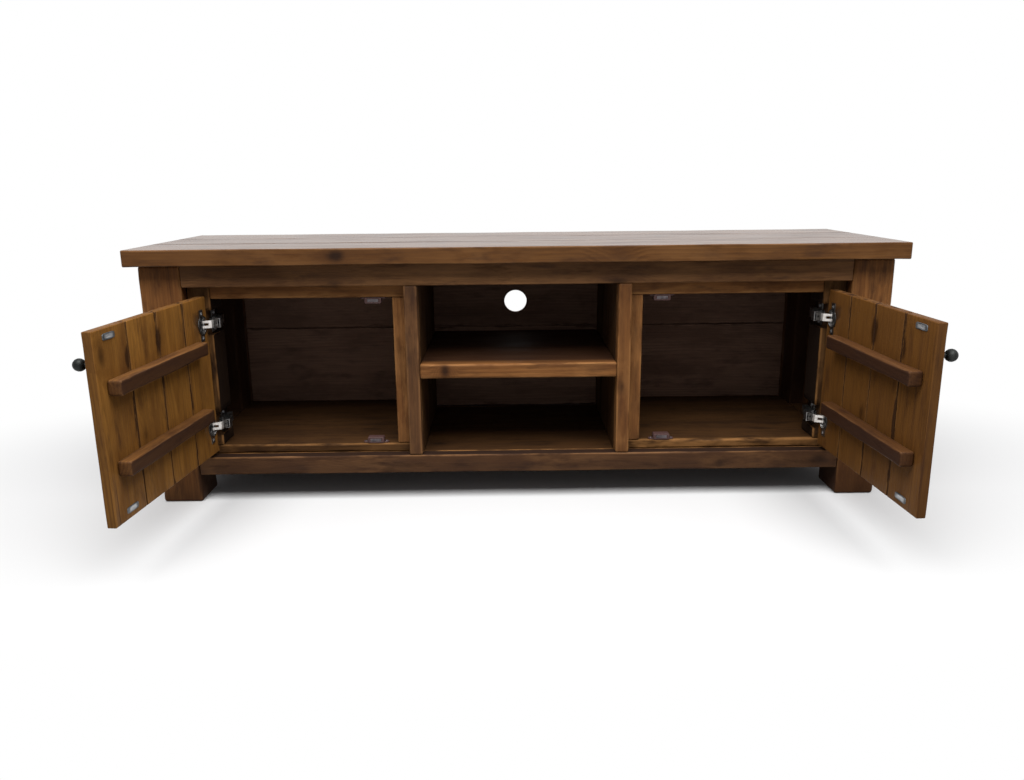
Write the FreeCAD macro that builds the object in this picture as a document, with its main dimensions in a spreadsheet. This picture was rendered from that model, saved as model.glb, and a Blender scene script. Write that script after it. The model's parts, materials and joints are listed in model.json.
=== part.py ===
"""Television unit of waxed pine planks: two cupboards with ledged doors beside an open centre bay.

Frame: X to the right, Y to the back, Z up. The origin lies on the floor under the middle of the carcass.
The left half is drawn, and its mirror image makes the right half. The doors stand open, as when in use.
Each door hangs on two concealed cup hinges: a link pair swings on the hinge arm, the door on the links.
"""
import FreeCAD
import Part
import Sketcher
import math
import os
import re

Vector = FreeCAD.Vector

# Driving dimensions in millimetres, and angles in degrees
SIZES = (
    # Overall sizes and the plank top
    ("overall_width", 1500), ("overall_height", 518), ("top_depth", 440), ("top_thick", 32),
    ("top_side_overhang", 15), ("top_front_overhang", 31), ("top_joint", 0.6), ("top_round", 6),
    # Posts, rails and stiles
    ("carcass_depth", 400), ("post_width", 81), ("post_depth", 94), ("post_round", 5),
    ("frame_thick", 26), ("top_rail_height", 44), ("bottom_rail_height", 38), ("leg_height", 58),
    ("stile_width", 27), ("bay_width", 394), ("edge_ease", 2), ("side_rail_inset", 6),
    # Panels, floors and shelf
    ("partition_thick", 20), ("floor_thick", 18), ("shelf_thick", 30), ("shelf_rise", 159),
    ("housing_depth", 6), ("bearer_size", 20), ("back_thick", 16), ("panel_joint", 1.5),
    ("tongue_thick", 5), ("tongue_reach", 6), ("tongue_play", 0.2),
    ("side_board_thick", 18), ("side_board_inset", 12), ("cable_hole_diameter", 54), ("cable_hole_drop", 87),
    ("back_upper_width", 146),
    # Stop frame behind the doors
    ("hinge_batten_width", 45), ("hinge_batten_depth", 68), ("stop_thick", 20), ("stop_lap", 25.5),
    # Doors
    ("door_thick", 16), ("door_gap_hinge", 12.4), ("door_gap_free", 17.6), ("door_gap_top", 18),
    ("door_gap_low", 9), ("door_shut_gap", 2), ("door_joint", 1.5), ("door_ease", 2),
    ("left_open_angle", 94.9), ("right_open_angle", 92.1),
    # Ledges across the doors
    ("ledge_height", 26), ("ledge_thick", 24.5), ("ledge_upper_rise", 66), ("ledge_lower_drop", 67),
    ("ledge_inset_hinge", 58), ("ledge_inset_free", 24), ("ledge_ease", 3),
    # Knobs
    ("knob_ball", 21), ("knob_reach", 26), ("knob_rose", 17), ("knob_rose_height", 5), ("knob_waist", 9),
    ("knob_neck", 7), ("knob_stud", 5), ("knob_stud_length", 12), ("knob_inset", 28), ("knob_drop", 57),
    # Hinge cups in the doors
    ("hinge_inset", 55), ("cup_diameter", 35), ("cup_depth", 11.5), ("cup_wall", 1.5), ("cup_setback", 22.5),
    ("flange_thick", 1.2), ("flange_width", 15), ("flange_height", 62), ("flange_rim", 19),
    ("cup_screw_spread", 48), ("cup_slot", 19.6), ("cup_slot_depth", 2.4), ("cup_play", 0.1),
    # Hinge motion, measured from the seat of the mounting plate and the front of the batten
    ("hinge_overlay", 21.4), ("arm_pin_out", 19.7), ("arm_pin_back", 4.6), ("cup_pin_setback", 11.6),
    ("cup_pin_depth", 3.5), ("link_share", 0.332),
    # Hinge links and pins
    ("pin_diameter", 3), ("pin_play", 0.1), ("link_bar", 3.8), ("link_eye", 5.4), ("link_inner", 2.6),
    ("link_outer", 7.4), ("link_bend_out", 11), ("link_bend_front", 1), ("link_knee_out", 5),
    ("link_knee_front", 7.5),
    # Hinge arms and mounting plates
    ("arm_wall", 1.5), ("arm_play", 0.5), ("arm_nose", 0.8), ("arm_low", 14.5), ("arm_high", 26.5),
    ("arm_shoulder", 17), ("arm_step", 34), ("arm_length", 60), ("arm_back_high", 15), ("arm_heel", 24),
    ("plate_thick", 2.5), ("plate_front", 26), ("plate_length", 22), ("plate_height", 44),
    ("plate_screw_spread", 32), ("rib_front", 16), ("hinge_housing", 50),
    # Magnetic catches and their strike plates
    ("catch_width", 34), ("catch_height", 12.5), ("catch_depth", 18), ("catch_inset_upper", 46),
    ("catch_inset_lower", 54),
    ("magnet_width", 22), ("magnet_height", 6), ("magnet_depth", 12),
    ("strike_width", 36), ("strike_height", 11), ("strike_thick", 1.2),
    # Screws
    ("screw_head", 6.4), ("screw_head_height", 1.4), ("screw_shank", 3.2), ("screw_length", 12),
    ("screw_play", 0.1),
)
ALIASES = {alias for alias, value in SIZES}

doc = FreeCAD.newDocument("tv_unit")
sheet = doc.addObject("Spreadsheet::Sheet", "Sheet")
for row, (alias, value) in enumerate(SIZES, start=1):
    sheet.set(f"A{row}", alias)
    sheet.set(f"B{row}", str(value))
    sheet.setAlias(f"B{row}", alias)
doc.recompute()


def size(alias):
    """The number in one cell of the sheet."""
    return float(sheet.get(alias))


def formula(text):
    """An expression on the sheet, from one written with bare aliases."""
    return re.sub(r"[a-z_]+", lambda word: "Sheet." + word[0] if word[0] in ALIASES else word[0], text)


# Planes that the pieces share, as formulas on the sheet
HALF = "(overall_width / 2 - top_side_overhang)"
POST_INNER = f"({HALF} - post_width)"
STILE_OUTER = "(bay_width / 2 + stile_width)"
PARTITION_OUTER = "(bay_width / 2 + partition_thick)"
FRONT = "(-carcass_depth / 2)"
BACK = "(carcass_depth / 2)"
STOP_FACE = f"({FRONT} + frame_thick)"
STOP_BACK = f"({STOP_FACE} + stop_thick)"
BACK_FACE = f"({BACK} - back_thick)"
REAR_RAIL_FACE = f"({BACK} - frame_thick)"
POST_BEHIND = f"({FRONT} + post_depth)"
REAR_POST_FACE = f"({BACK} - post_depth)"
SLAB_UNDER = "(overall_height - top_thick)"
HEAD = f"({SLAB_UNDER} - top_rail_height)"
SILL = "(leg_height + bottom_rail_height)"
FLOOR_TOP = f"({SILL} + floor_thick)"
BAY_FLOOR_UNDER = f"({SILL} - floor_thick)"
SHELF_UNDER = f"({SILL} + shelf_rise)"
BATTEN_INNER = f"({POST_INNER} - hinge_batten_width)"
DOOR_LOW = f"({SILL} + door_gap_low)"
DOOR_HIGH = f"({HEAD} - door_gap_top)"
DOOR_MIDDLE = f"(({DOOR_LOW} + {DOOR_HIGH}) / 2)"
DOOR_WIDTH = f"({POST_INNER} - {STILE_OUTER} - door_gap_hinge - door_gap_free)"
HINGE_SEAT = f"({POST_INNER} - door_gap_hinge - hinge_overlay)"
HINGE_HEIGHTS = {"lower": f"({DOOR_LOW} + hinge_inset)", "upper": f"({DOOR_HIGH} - hinge_inset)"}
CUP_PIN_LENGTH = (
    "(2 * sqrt((cup_diameter / 2 - cup_wall / 4) ^ 2"
    " - (cup_setback - cup_pin_setback + pin_diameter / 2) ^ 2))"
)
CATCH_UNDER_TOP = f"({HEAD} - stop_lap)"

AXES = "xyz"
TURNS = {
    "+x": FreeCAD.Rotation(Vector(0, 1, 0), 90),
    "-x": FreeCAD.Rotation(Vector(0, 1, 0), -90),
    "+y": FreeCAD.Rotation(Vector(1, 0, 0), -90),
    "-y": FreeCAD.Rotation(Vector(1, 0, 0), 90),
    "+z": FreeCAD.Rotation(),
    "-z": FreeCAD.Rotation(Vector(1, 0, 0), 180),
}
sub_parts = []


def place(piece, at):
    """Bind the base of a piece's placement to three formulas."""
    for axis, text in zip(AXES, at):
        piece.setExpression(f"Placement.Base.{axis}", formula(text))


def block(name, low, high):
    """A squared piece between two corners, each coordinate a formula."""
    piece = doc.addObject("Part::Box", name)
    for side, start, end in zip(("Length", "Width", "Height"), low, high):
        piece.setExpression(side, formula(f"({end}) - ({start})"))
    place(piece, low)
    return piece


def rod(name, at, direction, diameter, length, tip=None):
    """A cylinder along an axis from a point, or a cone where the tip has its own diameter."""
    piece = doc.addObject("Part::Cone" if tip else "Part::Cylinder", name)
    piece.setExpression("Radius1" if tip else "Radius", formula(f"({diameter}) / 2"))
    if tip:
        piece.setExpression("Radius2", formula(f"({tip}) / 2"))
    piece.setExpression("Height", formula(length))
    piece.Placement = FreeCAD.Placement(Vector(), TURNS[direction])
    place(piece, at)
    return piece


def fused(name, pieces):
    """Several volumes as one solid."""
    whole = doc.addObject("Part::MultiFuse", name)
    whole.Shapes = pieces
    whole.Refine = True
    return whole


def cut(name, base, tools):
    """A piece with one or more volumes taken out."""
    rest = doc.addObject("Part::Cut", name)
    rest.Base = base
    rest.Tool = tools[0] if len(tools) == 1 else fused(name + "_tools", tools)
    return rest


def grouped(name, pieces):
    """Separate solids that share one node."""
    group = doc.addObject("Part::Compound", name)
    group.Links = pieces
    return group


def mirrored(name, source):
    """The right-hand twin of a left-hand piece."""
    twin = doc.addObject("Part::Mirroring", name)
    twin.Source = source
    twin.Base = Vector(0, 0, 0)
    twin.Normal = Vector(1, 0, 0)
    return twin


def chosen_edges(shape, wanted):
    """Numbers of the edges whose direction and middle a test accepts."""
    found = []
    for number, edge in enumerate(shape.Edges, start=1):
        run = edge.Vertexes[-1].Point - edge.Vertexes[0].Point
        if wanted(run.normalize(), edge.CenterOfMass):
            found.append(number)
    return found


def softened(kind, name, base, amount, wanted):
    """A piece with a chamfer or a fillet along the edges that a test accepts."""
    doc.recompute()
    piece = doc.addObject("Part::" + kind, name)
    piece.Base = base
    piece.Edges = [(number, size(amount), size(amount)) for number in chosen_edges(base.Shape, wanted)]
    return piece


def along(axis):
    """A test for edges that run along one axis."""
    return lambda run, middle: abs(run["xyz".index(axis)]) > 0.999


def board(name, low, high, grain, ease="edge_ease"):
    """A planed board with its long arrises taken off."""
    return softened("Chamfer", name, block(name + "_blank", low, high), ease, along(grain))


def even_starts(low, high, joint, count):
    """Where equal boards begin between two places."""
    pitch = f"((({high}) - ({low}) + {joint}) / {count})"
    return [f"({low} + {index} * {pitch})" for index in range(count)]


def matched_boards(stem, low, high, grain, across, joint, starts, ease="edge_ease"):
    """Boards side by side between two corners, each with a tongue that enters the next one's groove."""
    side = AXES.index(across)
    depth = next(axis for axis in range(3) if AXES[axis] not in grain + across)
    centre = f"(({low[depth]}) + ({high[depth]})) / 2"
    ends = [f"({start} - {joint})" for start in starts[1:]] + [high[side]]
    boards = []
    for index, (near, far) in enumerate(zip(starts, ends)):

        def strip(kind, start, end, half):
            """A run of the tongue or the groove, between two places across the boards."""
            corners = list(low), list(high)
            corners[0][side], corners[1][side] = start, end
            corners[0][depth], corners[1][depth] = f"{centre} - ({half})", f"{centre} + ({half})"
            return block(f"{stem}_{kind}_{index}", *corners)

        name = f"{stem}_{index}"
        piece_low, piece_high = list(low), list(high)
        piece_low[side], piece_high[side] = near, far
        piece = board(name + "_plain", piece_low, piece_high, grain, ease)
        if index < len(starts) - 1:
            tongue = strip("tongue", f"{far} - tongue_reach", f"{far} + tongue_reach", "tongue_thick / 2")
            piece = fused(name + "_tongued", [piece, tongue])
        if index > 0:
            depth_in = f"{near} + tongue_reach - {joint} + tongue_play"
            groove = strip("groove", near, depth_in, "tongue_thick / 2 + tongue_play")
            piece = cut(name, piece, [groove])
        boards.append(piece)
    return boards


def sub_part(label, piece, placement=None):
    """Register a finished piece under its node name."""
    piece.Label = label
    if placement is not None:
        piece.Placement = placement
    sub_parts.append(piece)
    return piece


def pair(stem, left):
    """Register a left-hand piece and its twin on the right."""
    sub_part(stem + "_left", left)
    sub_part(stem + "_right", mirrored(stem + "_twin", left))


def outline(body, name, points):
    """A closed sketch on a body's XY plane, with every corner bound to two formulas."""
    sketch = body.newObject("Sketcher::SketchObject", name)
    plane = [feature for feature in body.Origin.OriginFeatures if feature.Role == "XY_Plane"][0]
    sketch.AttachmentSupport = [(plane, "")]
    sketch.MapMode = "FlatFace"
    count = len(points)
    turns = [2 * math.pi * index / count for index in range(count)]
    corners = [Vector(20 + 10 * math.cos(turn), 20 + 10 * math.sin(turn), 0) for turn in turns]
    for index in range(count):
        sketch.addGeometry(Part.LineSegment(corners[index], corners[(index + 1) % count]), False)
    for index in range(count):
        sketch.addConstraint(Sketcher.Constraint("Coincident", index, 2, (index + 1) % count, 1))
    for index, texts in enumerate(points):
        start = (corners[index].x, corners[index].y)
        for kind, value, text in zip(("DistanceX", "DistanceY"), start, texts):
            number = sketch.addConstraint(Sketcher.Constraint(kind, -1, 1, index, 1, value))
            sketch.setExpression(f"Constraints[{number}]", formula(text))
    return sketch


def swept(body, kind, name, sketch, length):
    """A pad or pocket that runs both ways from its sketch."""
    feature = body.newObject("PartDesign::" + kind, name)
    feature.Profile = sketch
    feature.SideType = "Symmetric"
    feature.setExpression("Length", formula(length))
    return feature


def screw(name, at, direction):
    """A pan-head screw whose head seats at a point, with the head behind it and the shank ahead."""
    axis = AXES.index(direction[1])
    sign = "-" if direction[0] == "+" else "+"
    seat = list(at)
    seat[axis] = f"{at[axis]} {sign} screw_head_height"
    head = rod(name + "_head", seat, direction, "screw_head", "screw_head_height")
    shank = rod(name + "_shank", seat, direction, "screw_shank", "screw_length + screw_head_height")
    return fused(name, [head, shank])


def sunk_screw(name, at, direction, sink, play="0"):
    """A countersunk screw whose head is flush at a point, or its hole where there is play."""
    head_size = f"screw_head + 2 * {play}"
    shank_size = f"screw_shank + 2 * {play}"
    head = rod(name + "_head", at, direction, head_size, sink, tip=shank_size)
    shank = rod(name + "_shank", at, direction, shank_size, f"screw_length + {play}")
    return fused(name, [head, shank])


def screw_hole(name, at, direction):
    """The bore that a screw's shank goes into, from the seat of its head."""
    return rod(name, at, direction, "screw_shank + 2 * screw_play", "screw_length + screw_play")


# Top: three planks laid lengthwise, rounded where the top ends
TOP_FRONT = f"({FRONT} - top_front_overhang)"
TOP_PITCH = "((top_depth + top_joint) / 3)"
for index, place_name in enumerate(("front", "middle", "rear")):
    name = "top_board_" + place_name
    start = f"{TOP_FRONT} + {index} * {TOP_PITCH}"
    plank = block(
        name + "_blank",
        ("-overall_width / 2", start, SLAB_UNDER),
        ("overall_width / 2", f"{start} + {TOP_PITCH} - top_joint", "overall_height"),
    )
    doc.recompute()
    limits = plank.Shape.BoundBox
    outer = {"front": limits.YMin, "middle": None, "rear": limits.YMax}[place_name]
    end_edge = lambda run, middle: abs(run.y) > 0.999
    outer_edge = lambda run, middle: abs(run.x) > 0.999 and outer is not None and abs(middle.y - outer) < 0.01
    wanted = lambda run, middle: end_edge(run, middle) or outer_edge(run, middle)
    sub_part(name, softened("Fillet", name, plank, "top_round", wanted))

# Posts: four square legs that run from the floor to the top
for depth_name, y_low, y_high in (("front", FRONT, POST_BEHIND), ("rear", REAR_POST_FACE, BACK)):
    name = "post_" + depth_name
    blank = block(name + "_blank", (f"-{HALF}", y_low, "0"), (f"-{POST_INNER}", y_high, SLAB_UNDER))
    pair(name, softened("Fillet", name, blank, "post_round", along("z")))

# Rails between the posts, flush with their outer faces at front and back
for depth_name, y_low, y_high in (("front", FRONT, STOP_FACE), ("rear", REAR_RAIL_FACE, BACK)):
    for height_name, z_low, z_high in (("top", HEAD, SLAB_UNDER), ("bottom", "leg_height", SILL)):
        name = f"rail_{height_name}_{depth_name}"
        sub_part(name, board(name, (f"-{POST_INNER}", y_low, z_low), (POST_INNER, y_high, z_high), "x"))
side_rails = []
for height_name, z_low, z_high in (("top", HEAD, SLAB_UNDER), ("bottom", "leg_height", SILL)):
    rail_outer = f"(-{HALF} + side_rail_inset)"
    rail_low = (rail_outer, POST_BEHIND, z_low)
    rail_high = (f"{rail_outer} + frame_thick", REAR_POST_FACE, z_high)
    side_rails.append(board("side_rail_" + height_name, rail_low, rail_high, "y"))
pair("side_rails", grouped("side_rails", side_rails))

# Side boards: three upright boards between the posts on each side, tongued together
SIDE_OUTER = f"(-{HALF} + side_board_inset)"
SIDE_INNER = f"({SIDE_OUTER} + side_board_thick)"
side_boards = matched_boards(
    "side_board", (SIDE_OUTER, POST_BEHIND, SILL), (SIDE_INNER, REAR_POST_FACE, HEAD), "z", "y", "panel_joint",
    even_starts(POST_BEHIND, REAR_POST_FACE, "panel_joint", 3),
)
pair("side_boards", grouped("side_boards", side_boards))

# Stiles beside the open bay, and the partitions behind them, housed for the shelf
stile = board("stile", (f"-{STILE_OUTER}", FRONT, SILL), ("-bay_width / 2", STOP_FACE, HEAD), "z")
pair("stile", stile)
panel = block(
    "partition_blank",
    (f"-{PARTITION_OUTER}", STOP_FACE, BAY_FLOOR_UNDER),
    ("-bay_width / 2", BACK_FACE, SLAB_UNDER),
)
housing = block(
    "shelf_housing",
    ("-bay_width / 2 - housing_depth", STOP_FACE, SHELF_UNDER),
    ("-bay_width / 2", BACK_FACE, f"{SHELF_UNDER} + shelf_thick"),
)
rail_notches = []
for height_name, z_low, z_high in (("top", HEAD, SLAB_UNDER), ("bottom", BAY_FLOOR_UNDER, SILL)):
    notch_low = (f"-{PARTITION_OUTER}", REAR_RAIL_FACE, z_low)
    rail_notches.append(block("rail_notch_" + height_name, notch_low, ("-bay_width / 2", BACK_FACE, z_high)))
pair("partition", cut("partition", panel, [housing] + rail_notches))

# Floors: the cupboard floors stand above the bottom rail and stop the doors, the bay floor is level with it
floor_main = block(
    "floor_main", (f"-{POST_INNER}", STOP_FACE, SILL), (f"-{PARTITION_OUTER}", BACK_FACE, FLOOR_TOP)
)
floor_lug = block("floor_lug", (SIDE_INNER, POST_BEHIND, SILL), (f"-{POST_INNER}", REAR_POST_FACE, FLOOR_TOP))
pair("floor", fused("floor", [floor_main, floor_lug]))
sub_part(
    "floor_centre",
    block(
        "floor_centre",
        ("-bay_width / 2", STOP_FACE, BAY_FLOOR_UNDER),
        ("bay_width / 2", REAR_RAIL_FACE, SILL),
    ),
)

# Bearers that carry the floors behind the bottom rail, and at the back of the bay
side_bearer = block(
    "side_bearer",
    (f"-{POST_INNER}", STOP_FACE, f"{SILL} - bearer_size"),
    (f"-{PARTITION_OUTER}", f"{STOP_FACE} + bearer_size", SILL),
)
bay_bearers = []
for depth_name, y_low in (("front", STOP_FACE), ("rear", f"{REAR_RAIL_FACE} - bearer_size")):
    bearer_low = ("-bay_width / 2", y_low, "leg_height")
    bearer_high = ("bay_width / 2", f"{y_low} + bearer_size", BAY_FLOOR_UNDER)
    bay_bearers.append(block("bay_bearer_" + depth_name, bearer_low, bearer_high))
sub_part(
    "floor_bearers",
    grouped("floor_bearers", [side_bearer, mirrored("side_bearer_twin", side_bearer)] + bay_bearers),
)

# Centre shelf: its ends enter the housings, and its front edge comes forward between the stiles
shelf_back = block(
    "shelf_back",
    ("-bay_width / 2 - housing_depth", STOP_FACE, SHELF_UNDER),
    ("bay_width / 2 + housing_depth", BACK_FACE, f"{SHELF_UNDER} + shelf_thick"),
)
shelf_nose = board(
    "shelf_nose",
    ("-bay_width / 2", FRONT, SHELF_UNDER),
    ("bay_width / 2", STOP_FACE, f"{SHELF_UNDER} + shelf_thick"),
    "x",
)
sub_part("centre_shelf", fused("centre_shelf", [shelf_back, shelf_nose]))

# Back: two wide tongued boards between the rear posts, the upper one bored for cables
back_boards = matched_boards(
    "back_board", (f"-{POST_INNER}", BACK_FACE, SILL), (POST_INNER, BACK, HEAD), "x", "z", "panel_joint",
    [SILL, f"({HEAD} - back_upper_width)"],
)
cable_hole = rod(
    "cable_hole", ("0", BACK_FACE, f"{HEAD} - cable_hole_drop"), "+y", "cable_hole_diameter", "back_thick"
)
sub_part("back_board_lower", back_boards[0])
sub_part("back_board_cable", cut("back_board_cable", back_boards[1], [cable_hole]))

# Hinge battens: screwed to the posts, with a housing at each hinge for the mounting plate
batten_blank = block(
    "batten_blank",
    (f"-{POST_INNER}", STOP_FACE, FLOOR_TOP),
    (f"-{BATTEN_INNER}", f"{STOP_FACE} + hinge_batten_depth", SLAB_UNDER),
)
batten_tools = []
plate_screws = []
for height_name, middle in HINGE_HEIGHTS.items():
    batten_tools.append(
        block(
            "hinge_housing_" + height_name,
            (f"-{HINGE_SEAT}", STOP_FACE, f"{middle} - hinge_housing / 2"),
            (f"-{BATTEN_INNER}", f"{STOP_FACE} + hinge_batten_depth", f"{middle} + hinge_housing / 2"),
        )
    )
    for sign in "-+":
        name = f"plate_screw_{height_name}_{'low' if sign == '-' else 'high'}"
        seat_out = f"-{HINGE_SEAT} + plate_thick"
        seat_back = f"{STOP_FACE} + plate_front + plate_length / 2"
        seat = (seat_out, seat_back, f"{middle} {sign} plate_screw_spread / 2")
        plate_screws.append(screw(name, seat, "-x"))
        batten_tools.append(screw_hole(name + "_bore", seat, "-x"))
pair("hinge_batten", cut("hinge_batten", batten_blank, batten_tools))

# Stops at the head and the free side of each cupboard
head_stop = block(
    "head_stop",
    (f"-{BATTEN_INNER}", STOP_FACE, CATCH_UNDER_TOP),
    (f"-{PARTITION_OUTER}", STOP_BACK, SLAB_UNDER),
)
pair("stop_top", head_stop)
side_stop = block(
    "side_stop",
    (f"-{STILE_OUTER} - stop_lap", STOP_FACE, FLOOR_TOP),
    (f"-{PARTITION_OUTER}", STOP_BACK, CATCH_UNDER_TOP),
)
pair("stop_side", side_stop)

# Magnetic catches: a moulded body with a magnet let into its front, under the head stop and on the floor
catches = []
magnets = []
for height_name, z_low in (("lower", FLOOR_TOP), ("upper", f"({CATCH_UNDER_TOP} - catch_height)")):
    catch_out = f"({STILE_OUTER} + door_gap_free + catch_inset_{height_name})"
    body_low = (f"-{catch_out} - catch_width / 2", STOP_FACE, z_low)
    body_high = (f"-{catch_out} + catch_width / 2", f"{STOP_FACE} + catch_depth", f"{z_low} + catch_height")
    catch_blank = board(f"catch_blank_{height_name}", body_low, body_high, "y")
    middle = f"({z_low} + catch_height / 2)"
    magnet_low = (f"-{catch_out} - magnet_width / 2", STOP_FACE, f"{middle} - magnet_height / 2")
    magnet_high = (
        f"-{catch_out} + magnet_width / 2",
        f"{STOP_FACE} + magnet_depth",
        f"{middle} + magnet_height / 2",
    )
    magnets.append(block("magnet_" + height_name, magnet_low, magnet_high))
    magnet_seat = block("magnet_seat_" + height_name, magnet_low, magnet_high)
    catches.append(cut("catch_" + height_name, catch_blank, [magnet_seat]))


def both_sides(stem, pieces):
    """Left-hand pieces and their twins in one node."""
    twins = [mirrored(f"{stem}_twin_{index}", piece) for index, piece in enumerate(pieces)]
    sub_part(stem, grouped(stem, pieces + twins))


both_sides("catch_bodies", catches)
both_sides("catch_magnets", magnets)

# Hinge mounting plates: winged bases with a rib that the arm straddles
plates = []
arms = []
arm_pins = []
for height_name, middle in HINGE_HEIGHTS.items():
    seat = f"-{HINGE_SEAT}"
    rib_half = "(link_outer + arm_play / 2)"
    wings = block(
        "plate_wings_" + height_name,
        (seat, f"{STOP_FACE} + plate_front", f"{middle} - plate_height / 2"),
        (
            f"{seat} + plate_thick",
            f"{STOP_FACE} + plate_front + plate_length",
            f"{middle} + plate_height / 2",
        ),
    )
    rib = block(
        "plate_rib_" + height_name,
        (seat, f"{STOP_FACE} + rib_front", f"{middle} - {rib_half}"),
        (f"{seat} + arm_back_high - arm_wall", f"{STOP_FACE} + arm_length", f"{middle} + {rib_half}"),
    )
    # The rib stays under the sloped part of the arm
    rib_slope = block(
        "rib_slope_" + height_name,
        (f"{seat} + plate_thick", f"{STOP_FACE} + rib_front", f"{middle} - {rib_half}"),
        (f"{seat} + arm_back_high", f"{STOP_FACE} + plate_front", f"{middle} + {rib_half}"),
    )
    bores = [rib_slope]
    for sign in "-+":
        bore_seat = (
            f"{seat} + plate_thick",
            f"{STOP_FACE} + plate_front + plate_length / 2",
            f"{middle} {sign} plate_screw_spread / 2",
        )
        end_name = "low" if sign == "-" else "high"
        bores.append(screw_hole(f"plate_bore_{height_name}_{end_name}", bore_seat, "-x"))
    plate_whole = fused("plate_whole_" + height_name, [wings, rib])
    plates.append(cut("plate_" + height_name, plate_whole, bores))

    # Hinge arm: a bent channel that hooks forward from the plate to the link pin
    body = doc.addObject("PartDesign::Body", "arm_body_" + height_name)
    arm_outline = (
        ("arm_low", "arm_nose"),
        ("arm_high - arm_wall", "arm_nose"),
        ("arm_high", "arm_nose + arm_wall"),
        ("arm_high", "arm_shoulder"),
        ("arm_back_high", "arm_step"),
        ("arm_back_high", "arm_length"),
        ("plate_thick", "arm_length"),
        ("plate_thick", "arm_heel"),
        ("arm_low", "rib_front"),
    )
    outer = outline(body, "arm_outline_" + height_name, arm_outline)
    swept(body, "Pad", "arm_pad_" + height_name, outer, "2 * (link_outer + arm_play + arm_wall)")
    channel = (
        ("arm_low - arm_wall", "arm_nose / 2"),
        ("arm_high - arm_wall", "arm_nose / 2"),
        ("arm_high - arm_wall", "arm_shoulder - arm_wall / 2"),
        ("arm_back_high - arm_wall", "arm_step - arm_wall / 2"),
        ("arm_back_high - arm_wall", "arm_length + arm_wall"),
        ("plate_thick / 2", "arm_length + arm_wall"),
        ("plate_thick / 2", "arm_heel - arm_wall"),
    )
    inner = outline(body, "arm_channel_" + height_name, channel)
    swept(body, "Pocket", "arm_pocket_" + height_name, inner, "2 * (link_outer + arm_play)")
    place(body, (seat, STOP_FACE, middle))
    pin_reach = "(link_outer + arm_play + arm_wall)"
    pin_place = (f"{seat} + arm_pin_out", f"{STOP_FACE} + arm_pin_back", f"{middle} - {pin_reach}")
    arm_pins.append(rod("arm_pin_" + height_name, pin_place, "+z", "pin_diameter", f"2 * {pin_reach}"))
    eye = rod("arm_eye_" + height_name, pin_place, "+z", "pin_diameter", f"2 * {pin_reach}")
    arms.append(cut("arm_" + height_name, body, [eye]))
both_sides("hinge_plates", plates)
both_sides("hinge_arms", arms)
both_sides("hinge_arm_pins", arm_pins)
both_sides("plate_screws", plate_screws)

# Doors, drawn shut in their own frame: X from the hinge edge, Y inward from the inner face, Z from the floor
CUP_FLOOR = "(cup_depth - cup_wall)"
STRIKE_HEIGHTS = {
    "lower": f"({FLOOR_TOP} + catch_height / 2)", "upper": f"({CATCH_UNDER_TOP} - catch_height / 2)"
}
KNOB_PLACE = (f"{DOOR_WIDTH} - knob_inset", f"{DOOR_HIGH} - knob_drop")
door_screws = []
door_bores = []
cups = []
cup_pins = []
for height_name, middle in HINGE_HEIGHTS.items():
    wall = rod("cup_wall_" + height_name, ("cup_setback", "0", middle), "-y", "cup_diameter", "cup_depth")
    rim = rod("cup_rim_" + height_name, ("cup_setback", "0", middle), "+y", "2 * flange_rim", "flange_thick")
    wing = block(
        "cup_wing_" + height_name,
        ("cup_setback - flange_width / 4", "0", f"{middle} - flange_height / 2"),
        ("cup_setback + flange_width * 3 / 4", "flange_thick", f"{middle} + flange_height / 2"),
    )
    cavity = rod(
        "cup_cavity_" + height_name,
        ("cup_setback", "flange_thick", middle),
        "-y",
        "cup_diameter - 2 * cup_wall",
        f"flange_thick + {CUP_FLOOR}",
    )
    slot = block(
        "cup_slot_" + height_name,
        ("0", "-cup_slot_depth", f"{middle} - cup_slot / 2"),
        ("cup_setback", "flange_thick", f"{middle} + cup_slot / 2"),
    )
    pin_base = ("cup_pin_setback", "-cup_pin_depth", f"{middle} - {CUP_PIN_LENGTH} / 2")
    cup_pins.append(rod("cup_pin_" + height_name, pin_base, "+z", "pin_diameter", CUP_PIN_LENGTH))
    pin_bore = rod("cup_pin_bore_" + height_name, pin_base, "+z", "pin_diameter", CUP_PIN_LENGTH)
    tools = [cavity, slot, pin_bore]
    for sign in "-+":
        name = f"cup_screw_{height_name}_{'low' if sign == '-' else 'high'}"
        seat = ("cup_setback + flange_width / 4", "flange_thick", f"{middle} {sign} cup_screw_spread / 2")
        door_screws.append(sunk_screw(name, seat, "-y", "flange_thick"))
        tools.append(sunk_screw(name + "_hole", seat, "-y", "flange_thick", "screw_play"))
        door_bores.append(screw_hole(name + "_bore", seat, "-y"))
    cups.append(cut("cup_" + height_name, fused("cup_solid_" + height_name, [wall, rim, wing]), tools))
    bore_size = "cup_diameter + 2 * cup_play"
    door_bores.append(
        rod("cup_bore_" + height_name, ("cup_setback", "0", middle), "-y", bore_size, "cup_depth + cup_play")
    )

# Strike plates for the catches
strikes = []
for height_name, middle in STRIKE_HEIGHTS.items():
    strike_out = f"({DOOR_WIDTH} - catch_inset_{height_name})"
    strike = block(
        "strike_" + height_name,
        (f"{strike_out} - strike_width / 2", "0", f"{middle} - strike_height / 2"),
        (f"{strike_out} + strike_width / 2", "strike_thick", f"{middle} + strike_height / 2"),
    )
    strikes.append(strike)

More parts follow.
